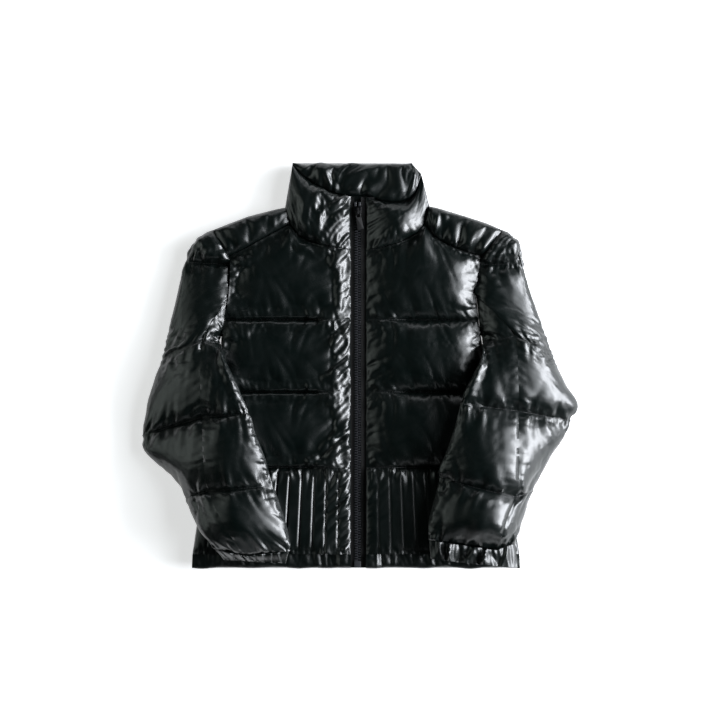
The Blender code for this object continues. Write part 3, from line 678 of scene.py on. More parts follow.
@dataclass(frozen=True)
class LacqueredNylon:
    """Thin plain-woven nylon with a glossy lacquer: crisp highlights broken by fine crinkles."""

    name: str = "Black lacquered nylon"
    base: str = "#010908"
    # slightly lighter tone that the seam attribute mixes in along stitched lines, beside the zip
    # and at edges
    seam_tone: str = "#050b0a"
    roughness: float = 0.33
    crinkle_mm: float = 8.0
    crease_mm: float = 34.0
    weave_mm: float = 1.1  # real yarns are 0.1 mm apart, drawn coarser so that they show at all
    crinkle_height: float = 0.3
    crease_height: float = 0.8

    def build(self) -> bpy.types.Material:
        """Return the material."""
        made, tree, shader = start_material(self.name)
        place = add_node(tree, "ShaderNodeTexCoord").outputs["Object"]
        weave_place = add_node(tree, "ShaderNodeUVMap", {"uv_map": "cloth"}).outputs["UV"]
        seam = add_node(tree, "ShaderNodeAttribute", {"attribute_name": "seam"}).outputs["Fac"]
        fine = add_node(tree, "ShaderNodeTexNoise", {"noise_type": "RIDGED_MULTIFRACTAL"},
                        {"Vector": place, "Scale": 1000.0 / self.crinkle_mm, "Detail": 2.0,
                         "Roughness": 0.45, "Distortion": 0.6})
        broad = add_node(tree, "ShaderNodeTexNoise", {},
                         {"Vector": place, "Scale": 1000.0 / self.crease_mm, "Detail": 3.0,
                          "Roughness": 0.5, "Distortion": 1.2})
        near = add_node(tree, "ShaderNodeMapRange", {"interpolation_type": "SMOOTHSTEP"},
                        {"Value": seam, "From Min": 0.0, "From Max": 1.0, "To Min": 0.12,
                         "To Max": 1.0})
        crinkle = add_node(tree, "ShaderNodeMath", {"operation": "MULTIPLY"},
                           {0: fine.outputs["Fac"], 1: near.outputs["Result"]})
        yarn = add_node(tree, "ShaderNodeTexWave",
                        {"wave_type": "BANDS", "bands_direction": "DIAGONAL"},
                        {"Vector": weave_place, "Scale": 1000.0 / self.weave_mm / 20.0,
                         "Distortion": 0.0, "Detail": 0.0})
        add_bumps(tree, shader, ((broad.outputs["Fac"], 0.2, self.crease_height),
                                 (crinkle.outputs[0], 0.55, self.crinkle_height),
                                 (yarn.outputs["Fac"], 0.05, 0.05)))
        patches = add_node(tree, "ShaderNodeMapRange", {},
                           {"Value": broad.outputs["Fac"], "From Min": 0.3, "From Max": 0.7,
                            "To Min": self.roughness - 0.03, "To Max": self.roughness + 0.05})
        tree.links.new(patches.outputs["Result"], shader.inputs["Roughness"])
        # the lighter tone is mixed in where the seam attribute is high
        mix_colours(tree, shader, seam, self.base, self.seam_tone)
        shader.inputs["IOR"].default_value = 1.53
        shader.inputs["Coat Weight"].default_value = 0.25
        shader.inputs["Coat Roughness"].default_value = 0.2
        return made


@dataclass(frozen=True)
class WovenTape:
    """Matt polyester tape: fine ribs along its length catch a little light."""

    name: str = "Black woven polyester tape"
    base: str = "#040404"
    rib: str = "#0b0b0c"
    rib_mm: float = 1.2
    roughness: float = 0.72

    def build(self) -> bpy.types.Material:
        """Return the material."""
        made, tree, shader = start_material(self.name)
        place = add_node(tree, "ShaderNodeTexCoord").outputs["Object"]
        ribs = add_node(tree, "ShaderNodeTexWave", {"wave_type": "BANDS", "bands_direction": "X"},
                        {"Vector": place, "Scale": 1000.0 / self.rib_mm / 20.0, "Detail": 1.0,
                         "Distortion": 0.4})
        picks = add_node(tree, "ShaderNodeTexWave", {"wave_type": "BANDS", "bands_direction": "Y"},
                         {"Vector": place, "Scale": 1000.0 / self.rib_mm / 20.0})
        both = add_node(tree, "ShaderNodeMath", {"operation": "MULTIPLY"},
                        {0: ribs.outputs["Fac"], 1: picks.outputs["Fac"]})
        mix_colours(tree, shader, both.outputs[0], self.base, self.rib)
        add_bumps(tree, shader, ((both.outputs[0], 0.5, 0.2),))
        shader.inputs["Roughness"].default_value = self.roughness
        shader.inputs["Specular IOR Level"].default_value = 0.3
        return made


@dataclass(frozen=True)
class MouldedBlack:
    """Moulded resin, enamelled zinc, rubber or thread: one dark body with fine surface grain."""

    name: str
    base: str
    grain: str
    roughness: float
    metallic: float = 0.0
    grain_mm: float = 0.8
    grain_height: float = 0.05

    def build(self) -> bpy.types.Material:
        """Return the material."""
        made, tree, shader = start_material(self.name)
        place = add_node(tree, "ShaderNodeTexCoord").outputs["Object"]
        grain = add_node(tree, "ShaderNodeTexNoise", {},
                         {"Vector": place, "Scale": 1000.0 / self.grain_mm, "Detail": 2.0})
        mix_colours(tree, shader, grain.outputs["Fac"], self.base, self.grain)
        rough = add_node(tree, "ShaderNodeMapRange", {},
                         {"Value": grain.outputs["Fac"], "To Min": self.roughness - 0.05,
                          "To Max": self.roughness + 0.07})
        tree.links.new(rough.outputs["Result"], shader.inputs["Roughness"])
        add_bumps(tree, shader, ((grain.outputs["Fac"], 0.4, self.grain_height),))
        shader.inputs["Metallic"].default_value = self.metallic
        return made


@dataclass
class Wardrobe:
    """Every finish of the jacket, made once, by its short name."""

    made: dict[str, bpy.types.Material] = field(default_factory=dict)

    def __post_init__(self) -> None:
        """Build the materials."""
        finishes = {
            "nylon": LacqueredNylon(),
            "binding": LacqueredNylon(name="Black lacquered nylon over elastic", roughness=0.36,
                                      crinkle_mm=5.0, crinkle_height=0.5),
            "tape": WovenTape(),
            "resin": MouldedBlack("Black moulded polyacetal", "#292a2d", "#3a3b3f", 0.38),
            "enamel": MouldedBlack("Black enamelled zinc", "#101012", "#18181a", 0.3, metallic=0.5),
            "rubber": MouldedBlack("Black moulded rubber", "#0a0a0b", "#111112", 0.6,
                                   grain_height=0.08),
            "thread": MouldedBlack("Black polyester thread", "#141616", "#222526", 0.5,
                                   grain_mm=0.5),
        }
        self.made = {key: finish.build() for key, finish in finishes.items()}

    def dress(self, piece: bpy.types.Object, finish: str) -> None:
        """Give a piece its finish.

        Args:
            piece: The finished object.
            finish: Name of its finish.
        """
        piece.data.materials.clear()
        piece.data.materials.append(self.made[finish])


# ------------------------------------------------------------------ meshes

def grid_numbers(mesh: bpy.types.Mesh, columns: int, rows: int) -> tuple[Array, Array, Array]:
    """Read each vertex's place from a mesh made of a unit grid.

    Args:
        mesh: Mesh whose grid is one unit wide.
        columns: Points across the grid.
        rows: Points along it.

    Returns:
        The column, the row and the height of each vertex.
    """
    flat = np.empty(len(mesh.vertices) * 3)
    mesh.vertices.foreach_get("co", flat)
    flat = flat.reshape(-1, 3)
    column = np.rint((flat[:, 0] + 0.5) * (columns - 1)).astype(int)
    row = np.rint((flat[:, 1] + 0.5) * (rows - 1)).astype(int)
    return column, row, flat[:, 2]


def mesh_from(shape: bmesh.types.BMesh, name: str) -> bpy.types.Mesh:
    """Write a shape to a new mesh and free it."""
    mesh = bpy.data.meshes.new(name)
    shape.to_mesh(mesh)
    shape.free()
    return mesh


def smooth(mesh: bpy.types.Mesh, sharp: float) -> None:
    """Shade a mesh smooth, with its edges sharp above an angle in degrees."""
    mesh.shade_smooth()
    mesh.set_sharp_from_angle(angle=math.radians(sharp))


def link_piece(name: str, mesh: bpy.types.Mesh) -> bpy.types.Object:
    """Link a finished mesh to the scene as a piece."""
    piece = bpy.data.objects.new(name, mesh)
    bpy.context.scene.collection.objects.link(piece)
    return piece


@dataclass
class Wall:
    """Closed cloth wall between a plain inside and a padded outside."""

    name: str
    inner: Array
    outer: Array
    seam: Array  # 1 on a stitched line, 0 well away from one

    def build(self) -> bpy.types.Object:
        """Return the wall as a closed mesh with its cloth map and seam attribute."""
        columns, rows = self.outer.shape[:2]
        sheet = bmesh.new()
        bmesh.ops.create_grid(sheet, x_segments=columns - 1, y_segments=rows - 1, size=0.5)
        bmesh.ops.solidify(sheet, geom=sheet.faces[:], thickness=1.0)
        mesh = mesh_from(sheet, self.name)
        column, row, height = grid_numbers(mesh, columns, rows)
        is_outer = height > (height.max() + height.min()) / 2
        points = np.where(is_outer[:, None], self.outer[column, row], self.inner[column, row])
        mesh.vertices.foreach_set("co", (points * MM).ravel())
        self._face_outwards(mesh)
        self._map_cloth(mesh, column, row)
        seam = mesh.attributes.new("seam", "FLOAT", "POINT")
        seam.data.foreach_set("value", self.seam[column, row].astype(np.float32))
        smooth(mesh, 62)
        return link_piece(self.name, mesh)

    @staticmethod
    def _face_outwards(mesh: bpy.types.Mesh) -> None:
        """Turn the faces outwards."""
        shape = bmesh.new()
        shape.from_mesh(mesh)
        if shape.calc_volume(signed=True) < 0.0:
            bmesh.ops.reverse_faces(shape, faces=shape.faces[:])
        shape.to_mesh(mesh)
        shape.free()

    def _map_cloth(self, mesh: bpy.types.Mesh, column: Array, row: Array) -> None:
        """Lay a UV map over the wall, in metres of cloth.

        Args:
            mesh: The wall's mesh.
            column: Column of each vertex.
            row: Row of each vertex.
        """
        across = np.linalg.norm(np.diff(self.outer, axis=0), axis=-1).mean(axis=1)
        along = np.linalg.norm(np.diff(self.outer, axis=1), axis=-1).mean(axis=0)
        u = np.concatenate([[0.0], np.cumsum(across)]) * MM
        v = np.concatenate([[0.0], np.cumsum(along)]) * MM
        corner = np.empty(len(mesh.loops), dtype=int)
        mesh.loops.foreach_get("vertex_index", corner)
        layer = mesh.uv_layers.new(name="cloth")
        pairs = np.stack([u[column[corner]], v[row[corner]]], axis=-1)
        layer.data.foreach_set("uv", pairs.ravel())


@dataclass
class Lay:
    """A cloth piece as it is laid out, before its padding presses it out."""

    columns: Array  # place of each column
    rows: Array  # place of each row
    inner: Array
    outer: Array
    pinned: Array  # True where the cloth is stitched down
    loose: Array  # how much of the full slack the cloth has, from 0 to 1
    seam: Array  # 1 on a stitched line, 0 well away from one
    folds: Array  # height of the small folds, in millimetres

    def __post_init__(self) -> None:
        """Give every array the size of the grid."""
        size = self.outer.shape[:2]
        for key in ("pinned", "loose", "seam", "folds"):
            setattr(self, key, np.array(np.broadcast_to(getattr(self, key), size)))

    def outwards(self) -> Array:
        """Return the direction that faces out of the cloth at each point."""
        along_columns = np.gradient(self.outer, axis=0)
        along_rows = np.gradient(self.outer, axis=1)
        normal = np.cross(along_columns, along_rows)
        normal /= np.maximum(np.linalg.norm(normal, axis=-1, keepdims=True), 1e-9)
        facing = np.sum(normal * (self.outer - self.inner), axis=-1).sum()
        return normal if facing > 0 else -normal


@dataclass(frozen=True)
class Padding:
    """Down padding: how hard it presses the cloth out, and how loosely the cloth is cut."""

    slack: float  # spare cloth beside a stitched line, as a share of its length
    cap: float  # farthest that a point moves, in millimetres
    rumple: float  # height of the unevenness that the folds grow from, in millimetres
    seed: int
    pressure: float = 4.0
    slack_middle: float = 0.0  # spare cloth in the middle of a chamber
    mass: float = 0.3
    tension: float = 15.0
    shear: float = 5.0
    bending: float = 1.0
    quality: int = 4
    frames: int = 14
    coarse: float = 5.5  # distance between the threads that are worked out
    speckle: float = 0.12  # spread of the unevenness from thread to thread, in millimetres
    swells: float = 45.0  # swells of the unevenness to a metre

    def fill(self, draw: Callable[[float], list[Lay]], pitch: float) -> list[Lay]:
        """Press a piece out on a coarse net, then draw it finely with its small folds.

        Args:
            draw: Returns the piece's sheets for a distance between points.
            pitch: Distance between points of the finished piece, in millimetres.

        Returns:
            The finished sheets.
        """
        nets, sheets = draw(self.coarse), draw(pitch)
        for net, pressed, sheet in zip(nets, self.press(nets), sheets):
            shift = through(net.columns, pressed - net.outer, sheet.columns)
            shift = through(net.rows, shift.swapaxes(0, 1), sheet.rows).swapaxes(0, 1)
            sheet.outer = sheet.outer + shift
            sheet.outer = sheet.outer + sheet.outwards() * sheet.folds[..., None]
        return sheets

    def press(self, nets: list[Lay]) -> list[Array]:
        """Press cloth out between its pinned lines.

        Args:
            nets: Coarse sheets; sheets that share points are sewn together there.

        Returns:
            Their outer points after the cloth has filled out.
        """
        cloth, start = self._cloth([net.outer for net in nets])
        tree = KDTree(len(start))
        for index, point in enumerate(start):
            tree.insert(point, index)
        tree.balance()
        owner = [np.array([tree.find(p * MM)[1] for p in net.outer.reshape(-1, 3)])
                 for net in nets]
        hold = np.zeros(len(start))
        slack = np.zeros(len(start))
        for numbers, net in zip(owner, nets):
            np.maximum.at(hold, numbers, net.pinned.ravel().astype(float))
            np.maximum.at(slack, numbers, net.loose.ravel().astype(float))
        self._roughen(cloth, start, hold)
        self._simulate(cloth, hold, slack)
        graph = bpy.context.evaluated_depsgraph_get()
        moved = np.empty(len(start) * 3)
        cloth.evaluated_get(graph).data.vertices.foreach_get("co", moved)
        moved = moved.reshape(-1, 3) / MM
        bpy.data.objects.remove(cloth, do_unlink=True)
        bpy.context.scene.frame_set(1)
        result = []
        for net, numbers in zip(nets, owner):
            shift = moved[numbers].reshape(net.outer.shape) - net.outer
            shift[net.pinned] = 0.0
            length = np.linalg.norm(shift, axis=-1, keepdims=True)
            result.append(net.outer + shift * np.minimum(1.0, self.cap / np.maximum(length, 1e-9)))
        return result

    @staticmethod
    def _cloth(grids: list[Array]) -> tuple[bpy.types.Object, Array]:
        """Make one sewn sheet.

        Args:
            grids: Points of each part; parts that share points are sewn together there.

        Returns:
            The sheet, and its points in metres.
        """
        sheet = bmesh.new()
        for grid in grids:
            columns, rows = grid.shape[:2]
            made = bmesh.ops.create_grid(sheet, x_segments=columns - 1, y_segments=rows - 1,
                                         size=0.5)
            for vert in made["verts"]:
                column = round((vert.co.x + 0.5) * (columns - 1))
                row = round((vert.co.y + 0.5) * (rows - 1))
                vert.co = grid[column, row] * MM
        bmesh.ops.remove_doubles(sheet, verts=sheet.verts[:], dist=0.02 * MM)
        if len(grids) > 1:
            bmesh.ops.recalc_face_normals(sheet, faces=sheet.faces[:])
        mesh = mesh_from(sheet, "cloth")
        cloth = link_piece("cloth", mesh)
        start = np.empty(len(mesh.vertices) * 3)
        mesh.vertices.foreach_get("co", start)
        return cloth, start.reshape(-1, 3)

    def _roughen(self, cloth: bpy.types.Object, start: Array, hold: Array) -> None:
        """Give free cloth a slight unevenness, so that it folds where cloth would.

        Args:
            cloth: The sewn sheet.
            start: Its points, in metres.
            hold: 1 where a point is stitched down.
        """
        drawn = np.random.default_rng(self.seed).normal(0.0, self.speckle, len(start))
        for index, vert in enumerate(cloth.data.vertices):
            if hold[index] < 0.5:
                uneven = noise.noise(Vector(start[index]) * self.swells) * self.rumple
                vert.co = vert.co + vert.normal * (uneven + drawn[index]) * MM

    def _simulate(self, cloth: bpy.types.Object, hold: Array, slack: Array) -> None:
        """Run the cloth with the padding's pressure and no weight.

        Args:
            cloth: The sewn sheet.
            hold: 1 where a point is stitched down.
            slack: How much of the full slack each point has.
        """
        pin = cloth.vertex_groups.new(name="stitched")
        ease = cloth.vertex_groups.new(name="slack")
        for index in range(len(hold)):
            if hold[index] > 0.5:
                pin.add([index], 1.0, "REPLACE")
            ease.add([index], float(slack[index]), "REPLACE")
        modifier = cloth.modifiers.new("cloth", "CLOTH")
        settings = modifier.settings
        settings.quality = self.quality
        settings.mass = self.mass
        settings.tension_stiffness = self.tension
        settings.compression_stiffness = self.tension
        settings.shear_stiffness = self.shear
        settings.bending_stiffness = self.bending
        settings.use_pressure = True
        settings.uniform_pressure_force = self.pressure
        settings.vertex_group_mass = pin.name
        settings.vertex_group_shrink = ease.name
        settings.shrink_min = -self.slack_middle
        settings.shrink_max = -self.slack
        settings.effector_weights.gravity = 0.0
        modifier.collision_settings.use_collision = False
        modifier.point_cache.frame_start = 1
        modifier.point_cache.frame_end = self.frames
        for frame in range(1, self.frames + 1):
            bpy.context.scene.frame_set(frame)


def finish_piece(piece: bpy.types.Object, finish: str, wardrobe: Wardrobe,
                 replaces: Sequence[str] = (),
                 body: str = GARMENT) -> None:
    """Dress a piece, ride it on its body and hide the nodes that it stands for.

    Args:
        piece: The finished object.
        finish: Name of its finish.
        wardrobe: The finishes.
        replaces: CAD nodes that it stands for.
        body: Body that carries it.
    """
    wardrobe.dress(piece, finish)
    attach(piece, body)
    if replaces:
        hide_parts(*replaces)
    LOG.info("%s: %d faces", piece.name, len(piece.data.polygons))


def sew(wardrobe: Wardrobe, form: str, node: str, wall: tuple[Array, Array, Array],
        finish: str = "nylon") -> None:
    """Make one closed piece of padded cloth that stands for a CAD node.

    Args:
        wardrobe: The finishes.
        form: How the cloth is made up, "padded" or "gathered", which starts the piece's name.
        node: CAD node that it stands for.
        wall: Inner points, outer points and nearness to a stitched line.
        finish: Name of its finish.
    """
    piece = Wall(f"{form}_{node}", *wall).build()
    finish_piece(piece, finish, wardrobe, [node])


# ------------------------------------------------------------------ body

@dataclass(frozen=True)
class FrontFit:
    """How the cloth of one front lies, which differs from side to side."""

    channel_fold: float  # depth of the band's lines
    armhole_floor: float  # fullness at the armhole
    edge_swell: float  # distance from the zip where the chambers are full
    yoke_folds: float  # size of the yoke's folds
    zip_folds: ZipFolds


@dataclass
class Body:
    """Fronts, yokes, hem band, hem and back."""

    cut: Cut
    wardrobe: Wardrobe
    pitch: float = 2.1
    front_width: float = 220.0
    yoke_length: float = 112.0
    yoke_height: float = 44.0
    band_height: float = 143.0
    channels: int = 12
    channel_width: float = 19.0
    channel_points: int = 14  # points across each channel
    hem_width: float = 250.0
    hem_pitch: float = 1.8
    hem_waves: int = 20
    back_width: float = 500.0
    back_pitch: float = 5.0
    fits: dict[Side, FrontFit] = field(default_factory=lambda: {
        Side.RIGHT: FrontFit(channel_fold=2.0, armhole_floor=0.5, edge_swell=76.0, yoke_folds=0.5,
                             zip_folds=ZipFolds(slant=0.85, rise=0.19, reach=1.9)),
        Side.LEFT: FrontFit(channel_fold=0.8, armhole_floor=0.12, edge_swell=96.0, yoke_folds=1.45,
                            zip_folds=ZipFolds(slant=-0.5, rise=0.1, reach=1.3))})
    seam_lines: list[Array] = field(default_factory=list)

    def build(self) -> None:
        """Make every piece of the body."""
        for side in Side:
            self.front(side)
            self.yoke(side)
            self.band(side)
            self.hem(side)
        self.back()

    def _top_line(self, side: Side) -> tuple[Array, Array]:
        """Return the front's top edge: along the neck, then along the yoke."""
        points = [(p.seam_x, p.seam_y) for p in self.cut.neck(side)[:-1]]
        points += [(p.seam_x, p.seam_y) for p in self.cut.yoke(side)[1:]]
        x, y = np.array(points, dtype=float).T
        return x, y

    def _outer(self, side: Side, from_edge: Array, full: float, shape: Array) -> Array:
        """Return a front piece's outer height.

        Args:
            side: Side of the jacket.
            from_edge: Distance from the bound edge beside the zip.
            full: Wall of the piece where it is fullest.
            shape: Share of the padding, from 0 to 1.

        Returns:
            The height of each point.
        """
        rim = self.cut.bound_edge(side, from_edge)
        return rim + (self.cut.front_z + full - rim) * shape

    def _zip_folds(self, from_edge: Array, y: Array, side: Side) -> Array:
        """Return the crinkles of the cloth that the zip gathers.

        Args:
            from_edge: Distance from the bound edge beside the zip.
            y: Places along the zip.
            side: Side of the jacket.

        Returns:
            The height of the folds.
        """
        gathered = self.fits[side].zip_folds
        near = Puckers(seed=101 + side.sign, spacings=(6.5,), rise=0.09, reach=1.5, lean=0.8,
                       slant=0.3 * gathered.slant)
        far = gathered.puckers(107 + side.sign, (9.0, 15.0, 26.0))
        return near.height(y, from_edge) + far.height(y, from_edge)

    def _chamber_rows(self, share: Array, top_line: Array, top_y: float,
                      pitch: float) -> tuple[tuple[float, ...], Array, Array]:
        """Lay out the rows of the quilted chambers, the last one up to a sloping top edge.

        Args:
            share: Columns.
            top_line: Height of the top edge at each column.
            top_y: Height that the top edge has at the side.
            pitch: Distance between rows, in millimetres.

        Returns:
            The seams, the row heights at the side and the height of each point.
        """
        low_y = self.cut.upper_quilt_y
        seams = (*self.cut.chamber_seams, top_y)
        rows = spaced(seams, np.diff(seams), pitch)[None, :]
        climb = np.clip((rows - low_y) / (top_y - low_y), 0, 1)
        return seams, rows, np.where(rows <= low_y, rows + 0.0 * share,
                                     low_y + climb * (top_line - low_y))

    def _under_sleeve(self, points: Array, inner: Array, spare: float, run: float) -> None:
        """Keep a front piece under the sleeve that lies over it, and above its own inside.

        Args:
            points: Outer points, whose heights are changed.
            inner: Inner points.
            spare: How much higher the cloth may stand clear of the sleeve.
            run: Distance from the sleeve where it may do so.
        """
        x, y = points[..., 0], points[..., 1]
        ceiling = self.cut.body_top(x, y) - 1.0
        clear = spare * eased(self.cut.sleeve_edge_distance(x, y) / run)
        points[..., 2] = np.minimum(points[..., 2], ceiling + clear)
        points[..., 2] = np.maximum(points[..., 2], inner[..., 2] + self.cut.least_wall)

    def front(self, side: Side) -> None:
        """Make one front: three quilted chambers, crinkled beside the zip."""
        cut, fit = self.cut, self.fits[side]

        def draw(pitch: float) -> list[Lay]:
            """Lay the front out with points about pitch millimetres apart."""
            edge_x = cut.edge_x(side)
            knot_x, knot_y = self._top_line(side)
            knots = (knot_x - edge_x) / (knot_x[-1] - edge_x)
            share = np.linspace(0.0, 1.0, round(self.front_width / pitch) + 1)[:, None]
            top_line = np.interp(share, knots, knot_y) - 0.2
            seams, rows, y = self._chamber_rows(share, top_line, cut.yoke_side_y, pitch)
            side_x = cut.side_x(side, rows)
            x = edge_x + share * (side_x - side.sign * 0.2 - edge_x)
            index = np.clip(np.searchsorted(seams, rows, side="right") - 1, 0, 2)
            low, high = np.array(seams)[index], np.array(seams)[index + 1]
            fraction = (rows - low) / (high - low)
            from_edge, from_side = np.abs(x - edge_x), np.abs(side_x - x)
            full = np.maximum(bulge(fraction, 2.2),
                              0.3 * (rows > 150.0) * eased(fraction * 4.0 - 3.0))
            flank = fit.armhole_floor + (1.0 - fit.armhole_floor) * swell(from_side, 52.0)
            shape = full * swell(from_edge, fit.edge_swell) * flank
            outer = stack(x, y, self._outer(side, from_edge, cut.chamber_wall, shape))
            tall = (high - low) + np.where(index == 2, y.max(axis=1, keepdims=True) - high, 0.0)
            above, below = (1.0 - fraction) * tall, fraction * tall
            quilting = Puckers(seed=13 + side.sign, rise=0.09, reach=1.5)
            folds = quilting.height(x, above) * np.where(rows > cut.band_seam_y, 1.0, 0.0)
            folds = folds + Puckers(seed=23 + side.sign, spacings=(10.0, 17.0, 27.0), rise=0.09,
                                    reach=1.5, slant=0.35).height(x + 40.0, below)
            folds = folds + Puckers(seed=33, rise=0.12).height(y, from_side)
            folds = folds * rounded(from_edge, 10.0) + self._zip_folds(from_edge, y, side)
            to_seam = np.minimum(above, below)
            near = np.clip(np.exp(-from_edge / 26.0)
                           + np.exp(-np.minimum(to_seam, from_side) / 12.0),
                           0.0, 1.0)
            stitched = np.isin(rows, seams) | (share <= 0.0) | (share >= 1.0)
            return [Lay(share[:, 0], rows[0], stack(x, y, cut.front_inside(from_edge)), outer,
                        stitched, near, near, folds)]

        padding = Padding(slack=0.06, seed=11 + side.sign, cap=8.0, rumple=0.3)
        sheet, = padding.fill(draw, self.pitch)
        place = sheet.outer
        self._under_sleeve(place, sheet.inner, 10.0, 30.0)
        sew(self.wardrobe, "padded", f"front_{side.value}", (sheet.inner, place, sheet.seam))
        for height in (cut.lower_quilt_y, cut.upper_quilt_y):
            row = int(np.argmin(np.abs(sheet.rows - height)))
            self.seam_lines.append(place[:, row])

    def yoke(self, side: Side) -> None:
        """Make one shoulder yoke, pulled into folds by the seam under it."""
        cut = self.cut
        points = cut.yoke(side)
        knots = np.linspace(0.0, 1.0, len(points))
        length, height = self.yoke_length, self.yoke_height
        share = np.linspace(0.0, 1.0, round(length / self.pitch) + 1)[:, None]
        climb = np.linspace(0.0, 1.0, round(height / self.pitch) + 1)[None, :]

        def edge(key: str) -> Array:
            """Read a column of the yoke's table along the shoulder."""
            return np.interp(share, knots, [getattr(p, key) for p in points])

        x = edge("seam_x") + climb * (edge("top_x") - edge("seam_x"))
        y = edge("seam_y") + 0.2 + climb * (edge("top_y") - edge("seam_y") - 0.2)
        x = x - side.sign * 5.0 * climb * (1.0 - share) ** 8  # tucked under the collar
        shape = (0.2 + 0.8 * bulge(climb)) * bulge(0.05 + 0.9 * share, 3.0)
        full = cut.yoke_wall - cut.seam_wall
        folds = Puckers(seed=55, spacings=(8.0, 15.0, 25.0), rise=0.20 * self.fits[side].yoke_folds,
                        reach=1.5, lean=0.5, slant=0.3).height(share * length, climb * height)
        folds = folds + Puckers(seed=58, rise=0.12).height(share * length, (1 - climb) * height)
        folds = folds * rounded(np.minimum(share, 1 - share) * length, 8.0)
        inner = stack(x, y, cut.front_z + 0.0 * shape)
        outer = stack(x, y, np.maximum(cut.front_z + cut.seam_wall + full * shape * 0.95 + folds,
                                       cut.front_z + 1.5))
        near = np.exp(-np.minimum(climb, 1 - climb) * height / 12.0) + 0.0 * share
        sew(self.wardrobe, "padded", f"yoke_{side.value}", (inner, outer, near))
        self.seam_lines.append(outer[:, 0])

    def band(self, side: Side) -> None:
        """Make one front's band: plain upright channels of even width."""
        cut = self.cut
        edge_x = cut.edge_x(side)
        per = self.channel_points
        share = np.linspace(0.0, 1.0, self.channels * per + 1)[:, None]
        rows = np.linspace(cut.hem_seam_y + cut.seam_half, cut.band_seam_y - cut.seam_half,
                           round(self.band_height / self.pitch) + 1)[None, :]
        side_x = cut.side_x(side, rows)
        x = edge_x + share * (side_x - edge_x)
        from_edge, from_side = np.abs(x - edge_x), np.abs(side_x - x)
        fraction = (rows - cut.hem_seam_y) / (cut.band_seam_y - cut.hem_seam_y)
        tall = cut.band_seam_y - cut.hem_seam_y
        above, below = (1.0 - fraction) * tall, fraction * tall
        to_line = np.abs((share * self.channels + 0.5) % 1.0 - 0.5) * self.channel_width
        stitched = eased((above - 9.0) / 6.0) * eased((below - 9.0) / 6.0)
        depth = self.fits[side].channel_fold
        sunk = depth * np.exp(-(to_line / 1.5) ** 2) * stitched
        shape = np.maximum(bulge(fraction, 4.0), 0.55 * (fraction < 0.5))
        shape = shape * rounded(from_edge + 1.5, 20.0) * rounded(from_side, 46.0)
        height = self._outer(side, from_edge, cut.band_wall - 1.0, shape)
        height = height - sunk * rounded(from_edge, 14.0)
        folds = Puckers(seed=73 + side.sign, spacings=(7.0, 12.0, 19.0), rise=0.23,
                        lean=0.3).height(x, above)
        folds = folds + Puckers(seed=83 + side.sign, spacings=(6.0, 10.0),
                                rise=0.18).height(x, below)
        side_pull = Grain(91 + side.sign).at(rows / 34.0, share * self.channels)
        folds = folds + 0.2 * depth * side_pull * np.exp(-(to_line / 5.0) ** 2) * stitched
        folds = folds * rounded(from_edge, 10.0) + self._zip_folds(from_edge, rows, side) * 0.8
        inner = stack(x, rows, cut.front_inside(from_edge))
        outer = stack(x, rows, height + folds)
        self._under_sleeve(outer, inner, 6.0, 25.0)
        seam = np.clip(np.exp(-to_line / 3.0) + np.exp(-np.minimum(above, below) / 14.0), 0.0, 1.0)
        sew(self.wardrobe, "padded", f"band_{side.value}", (inner, outer, seam))
        clear = [int(n) for n in np.flatnonzero(stitched[0] > 0.5)]
        for column in range(per, self.channels * per, per):
            self.seam_lines.append(outer[column, clear])
        self.seam_lines.append(outer[:, -1])

    def hem(self, side: Side) -> None:
        """Make one front's bound hem, gathered by its elastic."""
        cut = self.cut
        edge_x = cut.edge_x(side)
        share = np.linspace(0.0, 1.0, round(self.hem_width / self.hem_pitch) + 1)[:, None]
        rows = np.linspace(cut.hem_y, cut.hem_seam_y - cut.seam_half, 15)[None, :]
        side_x = cut.side_x(side, rows)
        x = edge_x + share * (side_x - edge_x)
        from_edge = np.abs(x - edge_x)
        fraction = (rows - cut.hem_y) / (cut.hem_seam_y - cut.hem_y)
        spacing = self.hem_width / self.hem_waves
        gather = np.abs(Grain(121 + side.sign).at(x / spacing + 0.35 * fraction, 0.8 * fraction))
        small = np.abs(Grain(131 + side.sign).at(x / 6.0, 1.6 * fraction))
        shape = (0.55 + 0.5 * gather + 0.12 * small) * rounded(fraction, 0.4)
        shape = np.minimum(shape, 1.15) * rounded(np.abs(side_x - x) + 3.0, 24.0)
        inside = cut.front_inside(from_edge)
        inner = stack(x, rows, inside)
        waver = 3.0 * Grain(141).at(x / 40.0, 0.0 * x) * (1.0 - fraction)
        outer = stack(x, rows + waver, inside + 2.2 + (cut.hem_wall - 2.2) * shape)
        sew(self.wardrobe, "gathered", f"hem_{side.value}", (inner, outer, 0.5 + 0.0 * shape),
            "binding")

    def _underside(self, from_side: Array, padding: Array) -> Array:
        """Return the back's outer height: flat on the surface, turned up at its edges."""
        return (self.cut.inside_z - self.cut.seam_wall) * (1.0 - rounded(from_side, 40.0) * padding)

    def back(self) -> None:
        """Make the back, its band and its hem, flat where they rest."""
        cut = self.cut
        top_x, top_y = np.array(cut.back_top, dtype=float).T
        share = np.linspace(0.0, 1.0, round(self.back_width / self.back_pitch) + 1)[:, None]
        knots = (top_x - top_x[0]) / (top_x[-1] - top_x[0])
        line = np.interp(share, knots, top_y)
        seams, rows, y = self._chamber_rows(share, line, cut.shoulder_side_y, self.back_pitch)
        self._back_piece("back", share, rows, y, line, seams[:3])
        band_rows = np.linspace(cut.hem_seam_y + cut.seam_half, cut.band_seam_y - cut.seam_half,
                                30)[None, :]
        self._back_piece("band_back", share, band_rows, band_rows + 0.0 * share, None,
                         (cut.hem_seam_y, cut.band_seam_y))
        hem_rows = np.linspace(cut.hem_y, cut.hem_seam_y - cut.seam_half, 9)[None, :]
        self._back_piece("hem_back", share, hem_rows, hem_rows + 0.0 * share, None, ())

